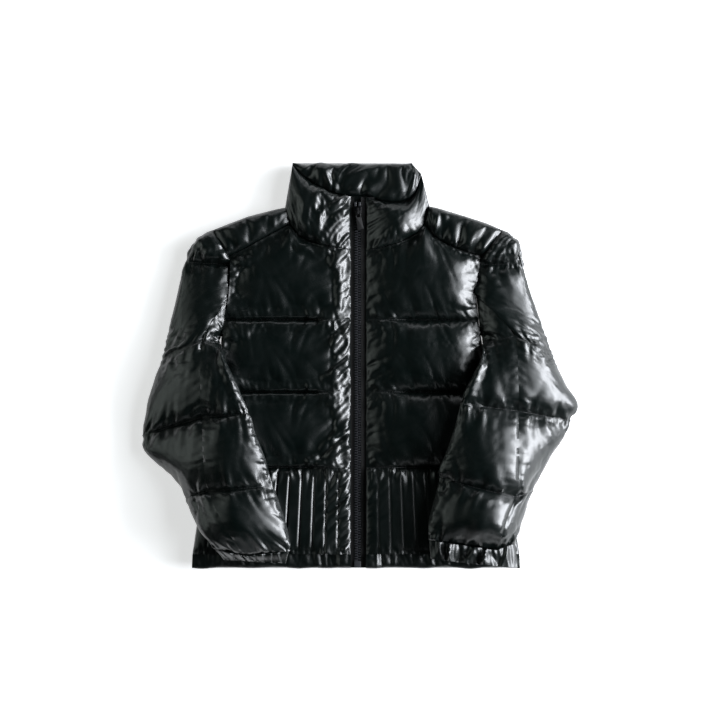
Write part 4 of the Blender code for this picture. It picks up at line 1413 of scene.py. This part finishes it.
    def _back_piece(self, node: str, share: Array, rows: Array, y: Array, line: Array | None,
                    seams: Sequence[float]) -> None:
        """Make one flat piece of the back.

        Args:
            node: CAD node that it stands for.
            share: Columns from the right side to the left.
            rows: Row heights at the sides.
            y: Height of each point.
            line: Top edge where the piece ends in one that turns up.
            seams: Stitched rows.
        """
        cut = self.cut
        right, left = cut.side_x(Side.RIGHT, rows) + 0.2, cut.side_x(Side.LEFT, rows) - 0.2
        x = right + share * (left - right)
        from_side = np.minimum(x - right, left - x)
        groove = 0.0 * y
        for seam in seams:
            groove = np.maximum(groove, 0.32 * (1.0 - eased(np.abs(y - seam) / 11.0)))
        padding = 1.0 - groove
        if line is not None:
            padding = padding * rounded(line - y + 2.0, 34.0)
        if node == "hem_back":
            padding = padding * np.interp(rows, [-332, -326, -318, -309], [0.1, 0.62, 0.82, 0.85])
        height = self._underside(from_side, padding)
        pucker = np.array([[noise.noise(Vector((a * 0.09, b * 0.02, 3.0))) for a, b in zip(p, q)]
                           for p, q in zip(x, y)])
        height = height + np.clip(height / 6.0, 0.0, 1.0) * 1.6 * pucker
        inner = stack(x, y, cut.inside_z + 0.0 * height)
        outer = stack(x, y, np.clip(height, 0.0, cut.inside_z - 2.0))
        seam = np.clip(height / 6.0, 0.0, 1.0)
        sew(self.wardrobe, "padded", node, (inner, outer, seam),
            "binding" if node == "hem_back" else "nylon")


# ------------------------------------------------------------------ collar

@dataclass
class Collar:
    """Stand collar: two padded front halves and the back that shows above them."""

    cut: Cut
    wardrobe: Wardrobe
    pitch: float = 1.9
    half_length: float = 125.0
    height: float = 88.0
    back_length: float = 225.0
    back_height: float = 62.0  # as much as shows above the fronts
    zip_folds: dict[Side, ZipFolds] = field(default_factory=lambda: {
        Side.RIGHT: ZipFolds(slant=0.8, rise=0.19, reach=1.8),
        Side.LEFT: ZipFolds(slant=-0.5, rise=0.1, reach=1.8)})
    seam_lines: list[Array] = field(default_factory=list)

    def build(self) -> None:
        """Make the three pieces."""
        for side in Side:
            self.front(side)
        self.back()

    def front(self, side: Side) -> None:
        """Make one front half of the collar."""
        cut = self.cut
        points = cut.neck(side)
        span = [abs(p.seam_x - points[0].seam_x) + 0.4 * abs(p.seam_y - points[0].seam_y)
                for p in points]
        knots = np.array(span) / span[-1]

        def draw(pitch: float) -> list[Lay]:
            """Lay the half out with points about pitch millimetres apart."""
            share = np.linspace(0.0, 1.0, round(self.half_length / pitch) + 1)[:, None]
            climb = np.linspace(0.0, 1.0, round(self.height / pitch) + 1)[None, :]

            def edge(key: str) -> Array:
                """Read a column of the neck's table along the collar."""
                return through(knots, [getattr(p, key) for p in points], share[:, 0])[:, None]

            x = edge("seam_x") + climb * (edge("top_x") - edge("seam_x"))
            y = edge("seam_y") + 0.2 + climb * (edge("top_y") - edge("seam_y") - 0.2)
            from_edge = np.abs(x - points[0].seam_x)
            from_side = from_edge[-1:] - from_edge
            flank = (swell(from_side + 2.0, 54.0) if side is Side.LEFT
                     else rounded(from_side + 1.5, 46.0))
            shape = bulge(climb, 2.4) * swell(from_edge, 56.0) * flank
            rim = cut.bound_edge(side, from_edge)
            height = rim + (cut.front_z + cut.collar_wall - rim) * shape
            gathered = self.zip_folds[side].puckers(161 + side.sign, (9.0, 15.0, 25.0))
            zip_folds = gathered.height(y, from_edge)
            neck = Puckers(seed=171 + side.sign, spacings=(9.0, 19.0), rise=0.15).height(
                x, climb * self.height)
            top = Puckers(seed=181 + side.sign, spacings=(8.0, 22.0), rise=0.11).height(
                x, (1.0 - climb) * self.height)
            folds = (neck + top) * rounded(from_edge, 10.0) * rounded(from_side, 10.0) + zip_folds
            near = np.clip(np.exp(-from_edge / 24.0)
                           + np.exp(-np.minimum(climb, 1 - climb) * self.height / 12.0), 0.0, 1.0)
            stitched = (climb <= 0) | (climb >= 1) | (share <= 0) | (share >= 1)
            return [Lay(share[:, 0], climb[0], stack(x, y, cut.front_inside(from_edge)),
                        stack(x, y, height), stitched, near, near, folds)]

        padding = Padding(slack=0.04, cap=7.0, seed=41 + side.sign, rumple=0.3)
        sheet, = padding.fill(draw, self.pitch)
        sheet.outer[..., 2] = np.maximum(sheet.outer[..., 2], sheet.inner[..., 2] + cut.least_wall)
        sew(self.wardrobe, "padded", f"collar_{side.value}",
            (sheet.inner, sheet.outer, sheet.seam))
        self.seam_lines.append(sheet.outer[:, 0])

    def back(self) -> None:
        """Make the back of the collar, crumpled where it shows above the fronts."""
        cut = self.cut
        heights = [p.y for p in cut.collar_side]
        rights = [p.right for p in cut.collar_side]
        lefts = [p.left for p in cut.collar_side]
        edge = [(p.top_x, p.top_y) for p in cut.neck_right[::-1] + cut.neck_left]
        edge_x, edge_y = np.array(edge, dtype=float).T
        span = np.interp(edge_y, heights, lefts) - np.interp(edge_y, heights, rights)
        knots = (edge_x - np.interp(edge_y, heights, rights)) / span
        share = np.linspace(0.0, 1.0, round(self.back_length / self.pitch) + 1)[:, None]
        edge_line = np.interp(share, knots, edge_y) + 1.2
        hidden = np.linspace(0.0, 1.0, 12)[None, :]
        shown = np.linspace(0.0, 1.0, round(self.back_height / self.pitch) + 1)[None, 1:]
        neck_y, top_y = cut.back_neck_y + cut.seam_half, heights[-1]
        y = np.concatenate([neck_y + hidden * (edge_line - neck_y),
                            edge_line + shown * (top_y - edge_line)], axis=1)
        right, left = np.interp(y, heights, rights), np.interp(y, heights, lefts)
        x = right + share * (left - right)
        from_side = np.minimum(x - right, left - x)
        under = rounded(from_side, 40.0) * rounded(top_y - y + 1.0, 34.0)
        below = stack(x, y, (cut.inside_z - cut.seam_wall) * (1.0 - under))
        above = np.concatenate([0.0 * hidden, shown], axis=1)
        room = np.maximum(top_y - edge_line, 1.0)
        size = np.minimum(room / 40.0, 1.0) * rounded(from_side, 20.0)
        puff = bulge(above) * size
        gathers = Puckers(seed=191, spacings=(13.0, 31.0), rise=0.12, reach=1.4,
                          lean=1.4).height(x, above * room)
        rim = Puckers(seed=197, spacings=(11.0, 37.0), rise=0.12, reach=1.4,
                      lean=1.4, slant=0.6).height(x, (1.0 - above) * room)
        folds = ((gathers + rim) * (above > 0) * rounded(from_side, 12.0)
                 * np.minimum(1.0, room / 25.0))
        height = cut.inside_z + cut.collar_puff * 0.75 * puff + folds
        waver = (3.4 * Grain(199).at(x / 26.0, 0.0 * x) - 1.2) * above * rounded(from_side, 16.0)
        top = stack(x, y + waver, np.maximum(height, cut.inside_z))
        sew(self.wardrobe, "padded", "collar_back", (below, top, 0.5 + 0.0 * y))


# ------------------------------------------------------------------ sleeves

@dataclass
class Sleeve:
    """One sleeve: an outer and an inner half, sewn along the long seam, and its cuff."""

    side: Side
    cut: Cut
    wardrobe: Wardrobe
    cuff_waves: float
    cuff_end: tuple[float, float, float, float]  # outer x and y, then inner x and y, of its opening
    cuff_fullness: float
    crown: float  # how far the padding lifts the middle of the sleeve
    pitch: float = 2.5
    half_width: float = 106.0
    row_length: float = 30.0  # distance from one table row to the next
    cuff_drop: float = 3.0
    armhole_floor: float = 0.25  # fullness at the armhole's seam
    pucker: float = 0.22  # height of the folds along the quilted lines, of their spacing
    skew: float = 1.0  # above 1, the highest line lies nearer to the outer fold
    soft_elbow: tuple[float, float] = (0.6, 0.8)  # how far padding bridges that seam, by half
    rumples: tuple[Rumple, ...] = ()
    seam_lines: list[Array] = field(default_factory=list)

    def build(self) -> None:
        """Make both halves and the cuff."""
        rows = self.cut.sleeve(self.side)
        first = next(i for i, row in enumerate(rows) if row.name == "armhole")

        def draw(pitch: float) -> list[Lay]:
            """Lay both halves out with points about pitch millimetres apart."""
            return [self._half(0, "outer", pitch), self._half(first, "inner", pitch)]

        padding = Padding(slack=0.04, cap=9.0, rumple=0.5, seed=61 + self.side.sign)
        halves = padding.fill(draw, self.pitch)
        self._fair(*halves)
        for part, start, sheet in zip(("outer", "inner"), (0, first), halves):
            self._settle(sheet, part, start)
        self.cuff()

    @staticmethod
    def _fair(outer: Lay, inner: Lay) -> None:
        """Let the upper cloth run on evenly from one half to the other over the long seam.

        Args:
            outer: Outer half, whose heights are changed.
            inner: Inner half, whose heights are changed.
        """
        count = int(np.sum(outer.columns < 0))
        halves = (outer.outer[:count, len(outer.rows) - len(inner.rows):], inner.outer[:count])
        aways, slopes, reach = [], [], []
        for half in halves:
            away = np.hypot(half[..., 0] - half[:1, :, 0], half[..., 1] - half[:1, :, 1])
            reach.append(np.minimum(30.0, 0.4 * away[-1:]))
            beside = ((away > 0.5) & (away < 0.7 * reach[-1])).astype(float)
            middle = (beside * away).sum(axis=0) / beside.sum(axis=0)
            spread = beside * (away - middle)
            slopes.append((spread * half[..., 2]).sum(axis=0)
                          / (spread * (away - middle)).sum(axis=0))
            aways.append(away)
        bend = np.convolve(np.pad((slopes[0] + slopes[1]) / 2.0, 5, mode="edge"),
                           np.ones(11) / 11.0, mode="valid")
        step = (halves[0][0, :, 2] - halves[1][0, :, 2]) / 2.0
        begins = eased(np.arange(len(inner.rows)) / 8.0)
        for half, away, sign, fade in zip(halves, aways, (1.0, -1.0), reach):
            half[..., 2] -= (sign * step + begins * bend * away) * np.exp(-(away / fade) ** 2)

    def _rows(self, first: int, pitch: float) -> tuple[Array, list[int], list[float]]:
        """Lay out the rows of a half.

        Args:
            first: Table row where the half starts.
            pitch: Distance between rows, in millimetres.

        Returns:
            Fine row numbers, the table rows that are stitched and the lengths between those.
        """
        rows = self.cut.sleeve(self.side)
        seams = [0] + [i for i, row in enumerate(rows) if row.name in ("quilt", "cuff seam")]
        lengths = []
        for low, high in zip(seams[:-1], seams[1:]):
            path = [(r.seam_x + r.outer_x, r.seam_y + r.outer_y) for r in rows[low:high + 1]]
            steps = np.diff(np.array(path, dtype=float) / 2.0, axis=0)
            lengths.append(float(np.hypot(steps[:, 0], steps[:, 1]).sum()))
        fine = spaced(seams, lengths, pitch)
        if first and first not in seams:
            fine[int(np.argmin(np.abs(fine - first)))] = first
        return fine[fine >= first - ROUND_OFF], seams, lengths

    def _half(self, first: int, part: str, pitch: float) -> Lay:
        """Lay out one half of the sleeve before the padding presses it out.

        Args:
            first: Table row where this half starts.
            part: "outer" or "inner", after the fold that it wraps.
            pitch: Distance between points, in millimetres.

        Returns:
            The half as it is laid out.
        """
        cut, side = self.cut, self.side
        table = cut.sleeve(side)
        index, seams, lengths = self._rows(first, pitch)
        knots = np.arange(first, len(table), dtype=float)

        def read(key: str) -> Array:
            """Read a column of the sleeve's table at the fine rows."""
            return through(knots, [getattr(r, key) for r in table[first:]], index)[None, :]

        seam_x, seam_y = read("seam_x"), read("seam_y")
        across_x, across_y = read(f"{part}_x") - seam_x, read(f"{part}_y") - seam_y
        width = np.hypot(across_x, across_y)
        turn = np.linspace(-1.0, 1.0, 2 * round(self.half_width / pitch) + 1)[:, None]
        around = np.sin((1.0 - np.abs(turn)) * math.pi / 2) ** 0.85
        around[np.abs(turn) >= 1.0] = 0.0
        on_top = -np.sign(turn)
        x, y = seam_x + around * across_x, seam_y + around * across_y
        inset = 1.0 - np.minimum(cut.fold_wall, 0.3 * width) / width
        inner_x, inner_y = seam_x + around * inset * across_x, seam_y + around * inset * across_y

        place = np.clip(np.searchsorted(seams, index, side="right") - 1, 0, len(seams) - 2)
        low, high = np.array(seams, dtype=float)[place], np.array(seams, dtype=float)[place + 1]
        fraction = ((index - low) / (high - low))[None, :]
        from_fold = (1.0 - around) * width
        sign = 1.0 if part == "outer" else -1.0
        hole_distance = cut.from_armhole(side, x, y)
        hole = self.armhole_floor + (1.0 - self.armhole_floor) * rounded(hole_distance, 34.0)
        turned = rounded(from_fold, np.minimum(np.maximum(cut.fold_round, 0.85 * width),
                                               0.97 * width))
        bridged = self.soft_elbow[0 if part == "outer" else 1]
        elbow = bridged * np.exp(-((index - seams[2]) / 1.1) ** 2)[None, :]
        quilt = 0.10 + 0.90 * bulge(fraction, 2.0)
        top_pad = (quilt + (0.9 - quilt) * elbow) * hole * turned * 0.9
        under_pad = rounded(hole_distance, cut.armhole_round) * rounded(from_fold, cut.under_round)
        thin = cut.seam_wall * np.minimum(1.0, from_fold / 6.0)
        top_wall = np.maximum(cut.sleeve_top_wall * top_pad, thin)
        under_wall = np.maximum(cut.sleeve_under_wall * under_pad * 0.8, thin)
        slit = cut.sleeve_slit / 2 * np.abs(on_top) * np.minimum(1.0, from_fold / 4.0)
        lift = cut.inside_z + cut.seam_half + cut.sleeve_lift(x, y)
        span = eased(from_fold / 24.0) * eased(hole_distance / 30.0) * (on_top > 0)
        lift = lift + span * (cut.drape(x, y) - cut.sleeve_lift(x, y))
        lift = lift + self._crowned(index, around * width * sign) * (on_top > 0)
        thickness = np.where(on_top > 0, slit + top_wall,
                             np.where(on_top < 0, -slit - under_wall, 0))
        outside = stack(x, y, np.maximum(lift + thickness, 0.0))
        inner_lift = cut.inside_z + cut.seam_half + cut.sleeve_lift(inner_x, inner_y)
        inside = stack(inner_x, inner_y, inner_lift + cut.sleeve_slit / 2 * on_top)

        quilted = np.isin(index, seams)[None, :]
        fixed = (quilted & (on_top >= 0)) | (turn > 0.35) | (index[None, :] <= first + ROUND_OFF)
        fixed = fixed | ((around <= 0.0) & (index[None, :] <= 5.0))
        long = np.array(lengths)[place][None, :]
        above, below = fraction * long, (1.0 - fraction) * long
        to_seam = np.minimum(above, below)
        shows = eased((0.25 - turn) / 0.3)
        near_seam = np.exp(-to_seam / 13.0) * shows
        near_hole = np.exp(-hole_distance / 16.0)
        reach = around * width * sign
        folds = Puckers(seed=211 + side.sign, rise=self.pucker).height(reach, above)
        folds = folds + Puckers(seed=221 + side.sign, rise=self.pucker).height(reach + 70.0, below)
        folds = folds * rounded(hole_distance, 12.0) * (1.0 - 0.8 * elbow)
        if part == "inner":
            folds = folds + Puckers(seed=247 + side.sign, spacings=(7.0, 13.0), rise=0.15,
                                    reach=1.3, lean=0.8).height(index * self.row_length, from_fold)
        folds = folds + Puckers(seed=231, rise=0.16).height(y, hole_distance) * hole
        folds = folds + Puckers(seed=241, spacings=(8.0, 15.0), rise=0.07).height(
            index * self.row_length, around * width)
        for rumple in self.rumples:
            folds = folds + rumple.height(x, y)
        folds = folds * shows * np.minimum(1.0, to_seam / 2.5) * eased(index[None, :] / 1.6)
        loose = np.clip(0.15 + 0.7 * near_seam + 0.5 * near_hole, 0.0, 1.0)
        seam = np.clip(near_seam + near_hole * 0.6, 0.0, 1.0)
        return Lay(turn[:, 0], index, inside, outside, fixed, loose, seam, folds)

    def _crowned(self, index: Array, across: Array) -> Array:
        """Return how far the padding lifts the sleeve, most along its middle.

        Args:
            index: Fine row numbers.
            across: Distance from the long seam, negative towards the inner fold.

        Returns:
            The lift of each point, in millimetres.
        """
        table = self.cut.sleeve(self.side)
        first = next(i for i, row in enumerate(table) if row.name == "armhole")
        rows = [r for r in table if r.inner_x is not None]
        start = len(table) - len(rows)
        spans = [[math.hypot(getattr(r, f"{part}_x") - r.seam_x, getattr(r, f"{part}_y") - r.seam_y)
                  for r in rows] for part in ("inner", "outer")]
        inner, outer = (np.interp(index, np.arange(start, len(table)), span)[None, :]
                        for span in spans)
        share = np.clip((inner + across) / (inner + outer), 0.0, 1.0)
        begins = eased((index - first) / 2.5)[None, :]
        ends = eased((len(table) - 1 - index) / 1.5)[None, :]
        return self.crown * np.sin(math.pi * share ** self.skew) * (begins * ends)

    def _settle(self, sheet: Lay, part: str, first: int) -> None:
        """Rest a pressed half on what is under it and close it to a wall.

        Args:
            sheet: The pressed half.
            part: "outer" or "inner".
            first: Table row where the half starts.
        """
        cut, side, place = self.cut, self.side, sheet.outer
        floor = cut.sleeve_lift(place[..., 0], place[..., 1])
        place[..., 2] = np.maximum(place[..., 2], floor)
        from_seam = np.linalg.norm(place[..., :2] - place[:1, :, :2], axis=-1)
        on_top = sheet.columns[:, None] < 0
        place[..., 2] -= 0.2 * np.exp(-(from_seam / 3.5) ** 2) * on_top * (sheet.rows > 5.0)
        sew(self.wardrobe, "padded", f"sleeve_{side.value}_{part}",
            (sheet.inner, place, sheet.seam))
        top = sheet.columns <= 0.0
        for number, row in enumerate(cut.sleeve(side)):
            if row.name == "quilt" and number >= first:
                line = int(np.argmin(np.abs(sheet.rows - number)))
                self.seam_lines.append(place[top, line])

    def cuff(self) -> None:
        """Make the gathered cuff, a flattened ring of binding."""
        cut, side = self.cut, self.side
        last = cut.sleeve(side)[-1]
        outer_x, outer_y, inner_x, inner_y = self.cuff_end
        gap = 0.02
        angle = np.linspace(gap, 2.0 * math.pi - gap, 217)[:, None]
        along = np.linspace(0.0, 1.0, 12)[None, :]
        bend = (last.seam_x - last.inner_x) / (last.outer_x - last.inner_x)
        place = 0.5 - 0.5 * np.cos(angle)
        warp = 0.5 * Grain(251 + side.sign).at(place * 5.0, 0.6 * along)
        turns = place * self.cuff_waves + warp + 0.3 * along
        share = turns - np.floor(turns)
        fold = np.minimum(share / 0.22, (1.0 - share) / 0.78)  # each fold lies over to one side
        small = Grain(261 + side.sign).at(place * 22.0, 1.6 * along)
        large = 0.85 + 0.5 * Grain(271).at(np.floor(turns) + 0.5, 0.0 * along)
        wave = 0.2 + np.clip(fold, 0.0, 1.0) * large + 0.2 * small
        size = 2.0 + (cut.cuff_wall + 1.0) * self.cuff_fullness * wave * (
            0.7 + 0.3 * bulge(0.06 + 0.88 * along))
        layers = []
        for half, height in ((0.455, 1.2 + 0.0 * size), (0.485, 1.2 + size)):
            across = 0.5 - half * np.cos(angle)
            top_x = last.inner_x + across * (last.outer_x - last.inner_x)
            top_y = np.interp(across, [0.0, bend, 1.0], [last.inner_y, last.seam_y, last.outer_y])
            low_x = inner_x + across * (outer_x - inner_x)
            low_y = inner_y + across * (outer_y - inner_y)
            x = top_x + along * (low_x - top_x)
            y = top_y - 0.5 + along * (low_y - top_y + 0.5)
            y = y + 1.5 * along * (wave - 0.7) * (half > 0.47)
            level = cut.inside_z + cut.sleeve_lift(x, y) - self.cuff_drop * eased(along)
            layers.append(stack(x, y, level + height * np.sin(angle)))
        seam = np.full(size.shape, 0.7)
        sew(self.wardrobe, "gathered", f"cuff_{side.value}", (layers[0], layers[1], seam),
            "binding")


# ------------------------------------------------------------------ zip and stitching

@dataclass
class Zip:
    """Moulded zip: tapes, interlocked teeth, stops, slider and pull tab."""

    wardrobe: Wardrobe
    tooth_pitch: float = 4.2
    tooth_length: float = 5.6
    tooth_width: float = 1.9
    cord_width: float = 2.0

    def build(self) -> None:
        """Make every piece of the zip."""
        self.tapes()
        self.teeth()
        for node, finish in (("slider", "enamel"), ("slider_bridge", "enamel"),
                             ("zip_box", "resin"), ("stop_right", "resin"),
                             ("stop_left", "resin")):
            self._softened(node, finish, 0.35, GARMENT)
        self._softened("pull_tab", "rubber", 0.5, PULL)

    def tapes(self) -> None:
        """Make both tapes with the thick woven edge that holds the teeth."""
        for side in Side:
            low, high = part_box(f"tape_{side.value}")
            x = np.linspace(low[0], high[0], 22)[:, None] / MM
            y = np.linspace(low[1], high[1], 200)[None, :] / MM
            inner_edge = high[0] / MM if side is Side.RIGHT else low[0] / MM
            cord = rounded(self.cord_width - np.abs(x - inner_edge), self.cord_width)
            cord = np.where(np.abs(x - inner_edge) < self.cord_width, cord, 0.0)
            top = high[2] / MM + 0.35 * cord + 0.05 * np.sin(y / 1.3)
            below = stack(x, y, low[2] / MM + 0.0 * top)
            piece = Wall(f"zip_tape_{side.value}", below, stack(x, y, top), 0.0 * top).build()
            finish_piece(piece, "tape", self.wardrobe, [f"tape_{side.value}"])

    def teeth(self) -> None:
        """Make the interlocked teeth of the closed chain as one mesh."""
        low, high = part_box("chain")
        middle = (low[0] + high[0]) / 2 / MM
        bottom, top = low[2] / MM, high[2] / MM
        count = int((high[1] - low[1]) / MM / self.tooth_pitch)
        shape = bmesh.new()
        for number in range(count):
            for sign in (-1, 1):
                y = low[1] / MM + (number + 0.5 + 0.25 * sign) * self.tooth_pitch
                x = middle + sign * (5.0 - self.tooth_length / 2)
                place = Matrix.Translation(Vector((x, y, (bottom + top) / 2)) * MM)
                size = Vector((self.tooth_length, self.tooth_width, top - bottom)) * MM
                made = bmesh.ops.create_cube(shape, size=1.0, matrix=place @ Matrix.Diagonal(
                    (*size, 1.0)))
                head = [v for v in made["verts"] if (v.co.x / MM - middle) * -sign > -1.0]
                bmesh.ops.scale(shape, vec=(1.0, 0.8, 0.92), verts=head,
                                space=Matrix.Translation(-place.translation))
        bmesh.ops.bevel(shape, geom=shape.edges[:], offset=0.35 * MM, segments=1, profile=0.5,
                        affect="EDGES", material=-1)
        mesh = mesh_from(shape, "zip_teeth")
        smooth(mesh, 40)
        finish_piece(link_piece("zip_teeth", mesh), "resin", self.wardrobe, ["chain"])

    def _softened(self, node: str, finish: str, radius: float, body: str) -> None:
        """Copy a hard CAD piece, merge its faces and round its edges.

        Args:
            node: CAD node.
            finish: Name of its finish.
            radius: Radius of its edges, in millimetres.
            body: Body that carries it.
        """
        mesh = FRAME["nodes"][node].data.copy()
        shape = bmesh.new()
        shape.from_mesh(mesh)
        bmesh.ops.remove_doubles(shape, verts=shape.verts[:], dist=0.002 * MM)
        bmesh.ops.dissolve_limit(shape, angle_limit=math.radians(2), verts=shape.verts[:],
                                 edges=shape.edges[:])
        sharp = [e for e in shape.edges if len(e.link_faces) == 2
                 and e.calc_face_angle(0.0) > math.radians(25)]
        bmesh.ops.bevel(shape, geom=sharp, offset=radius * MM, segments=2, profile=0.5,
                        affect="EDGES", clamp_overlap=True, material=-1)
        shape.to_mesh(mesh)
        shape.free()
        smooth(mesh, 35)
        finish_piece(link_piece(f"moulded_{node}", mesh), finish, self.wardrobe, [node], body=body)


@dataclass
class Stitching:
    """Lock stitches along the quilting and the seams."""

    wardrobe: Wardrobe
    pitch: float = 4.4
    length: float = 2.9
    width: float = 0.75
    height: float = 0.5

    def build(self, lines: Sequence[Array]) -> None:
        """Lay stitches along seam lines.

        Args:
            lines: Points of each line, in millimetres.
        """
        shape = bmesh.new()
        for line in lines:
            steps = np.linalg.norm(np.diff(line, axis=0), axis=1)
            total = np.concatenate([[0.0], np.cumsum(steps)])
            for at in np.arange(self.pitch, total[-1] - self.pitch, self.pitch):
                here = np.array([np.interp(at, total, line[:, k]) for k in range(3)])
                ahead = np.array([np.interp(at + 1.0, total, line[:, k]) for k in range(3)])
                direction = Vector(ahead - here)
                turn = direction.to_track_quat("X", "Z").to_matrix().to_4x4()
                place = Matrix.Translation(Vector(here + (0, 0, 0.25)) * MM)
                size = Vector((self.length, self.width, self.height)) * MM
                bmesh.ops.create_cube(shape, size=1.0,
                                      matrix=place @ turn @ Matrix.Diagonal((*size, 1.0)))
        mesh = mesh_from(shape, "stitching")
        finish_piece(link_piece("stitching", mesh), "thread", self.wardrobe)


# ------------------------------------------------------------------ studio

@dataclass(frozen=True)
class Softbox:
    """A rectangular studio light aimed at the jacket."""

    name: str
    azimuth: float  # in degrees, from +X
    elevation: float
    distance: float
    width: float
    height: float
    power: float
    colour: str = "#ffffff"

    def build(self, target: Vector) -> None:
        """Place the light at its angles round a point.

        Args:
            target: Point that the light faces.
        """
        data = bpy.data.lights.new(self.name, "AREA")
        data.shape = "RECTANGLE"
        data.size, data.size_y = self.width, self.height
        data.energy = self.power
        data.color = linear(self.colour)[:3]
        lamp = bpy.data.objects.new(self.name, data)
        turn, climb = math.radians(self.azimuth), math.radians(self.elevation)
        offset = Vector((math.cos(turn) * math.cos(climb), math.sin(turn) * math.cos(climb),
                         math.sin(climb))) * self.distance
        lamp.location = target + offset
        lamp.rotation_euler = (-offset).to_track_quat("-Z", "Y").to_euler()
        bpy.context.scene.collection.objects.link(lamp)


@dataclass
class Studio:
    """Pale floor, soft lights and a camera that looks straight down."""

    mm_per_pixel: float = 1.65
    image_width: int = 718
    origin_pixel: tuple[float, float] = (360.5, 366.5)
    centre_pixel: tuple[float, float] = (359.0, 355.0)
    camera_height: float = 4.0
    sensor: float = 36.0
    reach: float = 50.0  # farthest that the camera sees
    jacket_top: float = 0.02  # height that is framed at its real size
    floor_size: float = 44.0
    floor_drop: float = 0.0006  # distance of the floor below the jacket
    target_height: float = 0.03

    def build(self) -> None:
        """Make the camera, the floor and the lights."""
        self.camera()
        self.floor()
        target = Vector((0.0, 0.0, self.target_height))
        for box in (
            Softbox("window", 2, 23, 2.7, 2.2, 0.9, 125, "#f6f9ff"),
            Softbox("window wall", 6, 33, 2.9, 3.0, 2.3, 88, "#f2f7fc"),
            Softbox("fill", 178, 22, 2.8, 2.2, 0.9, 5, "#e6f2ec"),
            Softbox("fill wall", 172, 32, 3.0, 2.8, 2.0, 9, "#e2efe9"),
            Softbox("rear", 92, 16, 3.0, 2.4, 0.7, 9, "#f2f6fa"),
            Softbox("front", 268, 18, 3.0, 2.4, 0.7, 3, "#f2f6fa"),
        ):
            box.build(target)
        self.world()

    def camera(self) -> None:
        """Look straight down, framed by the real size of a pixel."""
        data = bpy.data.cameras.new("camera")
        view_width = self.image_width * self.mm_per_pixel * MM
        data.sensor_width = self.sensor
        data.lens = self.sensor * (self.camera_height - self.jacket_top) / view_width
        data.clip_end = self.reach
        eye = bpy.data.objects.new("camera", data)
        x = (self.centre_pixel[0] - self.origin_pixel[0]) * self.mm_per_pixel * MM
        y = (self.origin_pixel[1] - self.centre_pixel[1]) * self.mm_per_pixel * MM
        eye.location = (x, y, self.camera_height)
        bpy.context.scene.collection.objects.link(eye)
        bpy.context.scene.camera = eye

    def floor(self) -> None:
        """Lay a plain pale floor."""
        shape = bmesh.new()
        bmesh.ops.create_grid(shape, x_segments=1, y_segments=1, size=self.floor_size / 2)
        mesh = mesh_from(shape, "floor")
        ground = link_piece("floor", mesh)
        ground.location.z = -self.floor_drop
        made, tree, shader = start_material("Matt white paper backdrop")
        place = add_node(tree, "ShaderNodeTexCoord").outputs["Object"]
        grain = add_node(tree, "ShaderNodeTexNoise", {}, {"Vector": place, "Scale": 400.0})
        mix_colours(tree, shader, grain.outputs["Fac"], "#f7f7f7", "#fdfdfd")
        shader.inputs["Roughness"].default_value = 0.9
        shader.inputs["Specular IOR Level"].default_value = 0.1
        shader.inputs["Emission Color"].default_value = linear("#ffffff")
        shader.inputs["Emission Strength"].default_value = 0.6
        mesh.materials.append(made)

    @staticmethod
    def world() -> None:
        """Dim, even surroundings."""
        world = bpy.data.worlds.new("surroundings")
        world.use_nodes = True
        world.node_tree.nodes["Background"].inputs["Color"].default_value = linear("#3a4240")
        world.node_tree.nodes["Background"].inputs["Strength"].default_value = 0.2
        bpy.context.scene.world = world
        bpy.context.scene.view_settings.view_transform = "Standard"


def main() -> None:
    """Build the jacket's pieces in order and report each one."""
    logging.basicConfig(level=logging.INFO, format="%(name)s: %(message)s")
    cut = Cut()
    Studio().build()
    wardrobe = Wardrobe()
    body = Body(cut, wardrobe)
    body.build()
    collar = Collar(cut, wardrobe)
    collar.build()
    sleeves = (
        Sleeve(Side.RIGHT, cut, wardrobe, cuff_waves=9.0, cuff_end=(-226, -316, -121, -322),
               cuff_fullness=0.75, crown=11.0, cuff_drop=10.0, armhole_floor=0.5, pucker=0.15,
               rumples=(Rumple(-312, 22, 32, 25, rise=0.4), Rumple(-272, 190, 18, 60, 7.0),
                        Rumple(-240, 72, 22, -55, 7.0))),
        Sleeve(Side.LEFT, cut, wardrobe, cuff_waves=4.6, cuff_end=(260, -329, 112, -314),
               cuff_fullness=1.7, crown=18.0, skew=1.4,
               rumples=(Rumple(282, 46, 27, -30), Rumple(262, 178, 20, 100, 7.0),
                        Rumple(313, 12, 14, 15))),
    )
    for sleeve in sleeves:
        sleeve.build()
    Zip(wardrobe).build()
    lines = body.seam_lines + collar.seam_lines + sleeves[0].seam_lines + sleeves[1].seam_lines
    Stitching(wardrobe).build(lines)


if __name__ == "__main__":
    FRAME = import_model()
    main()
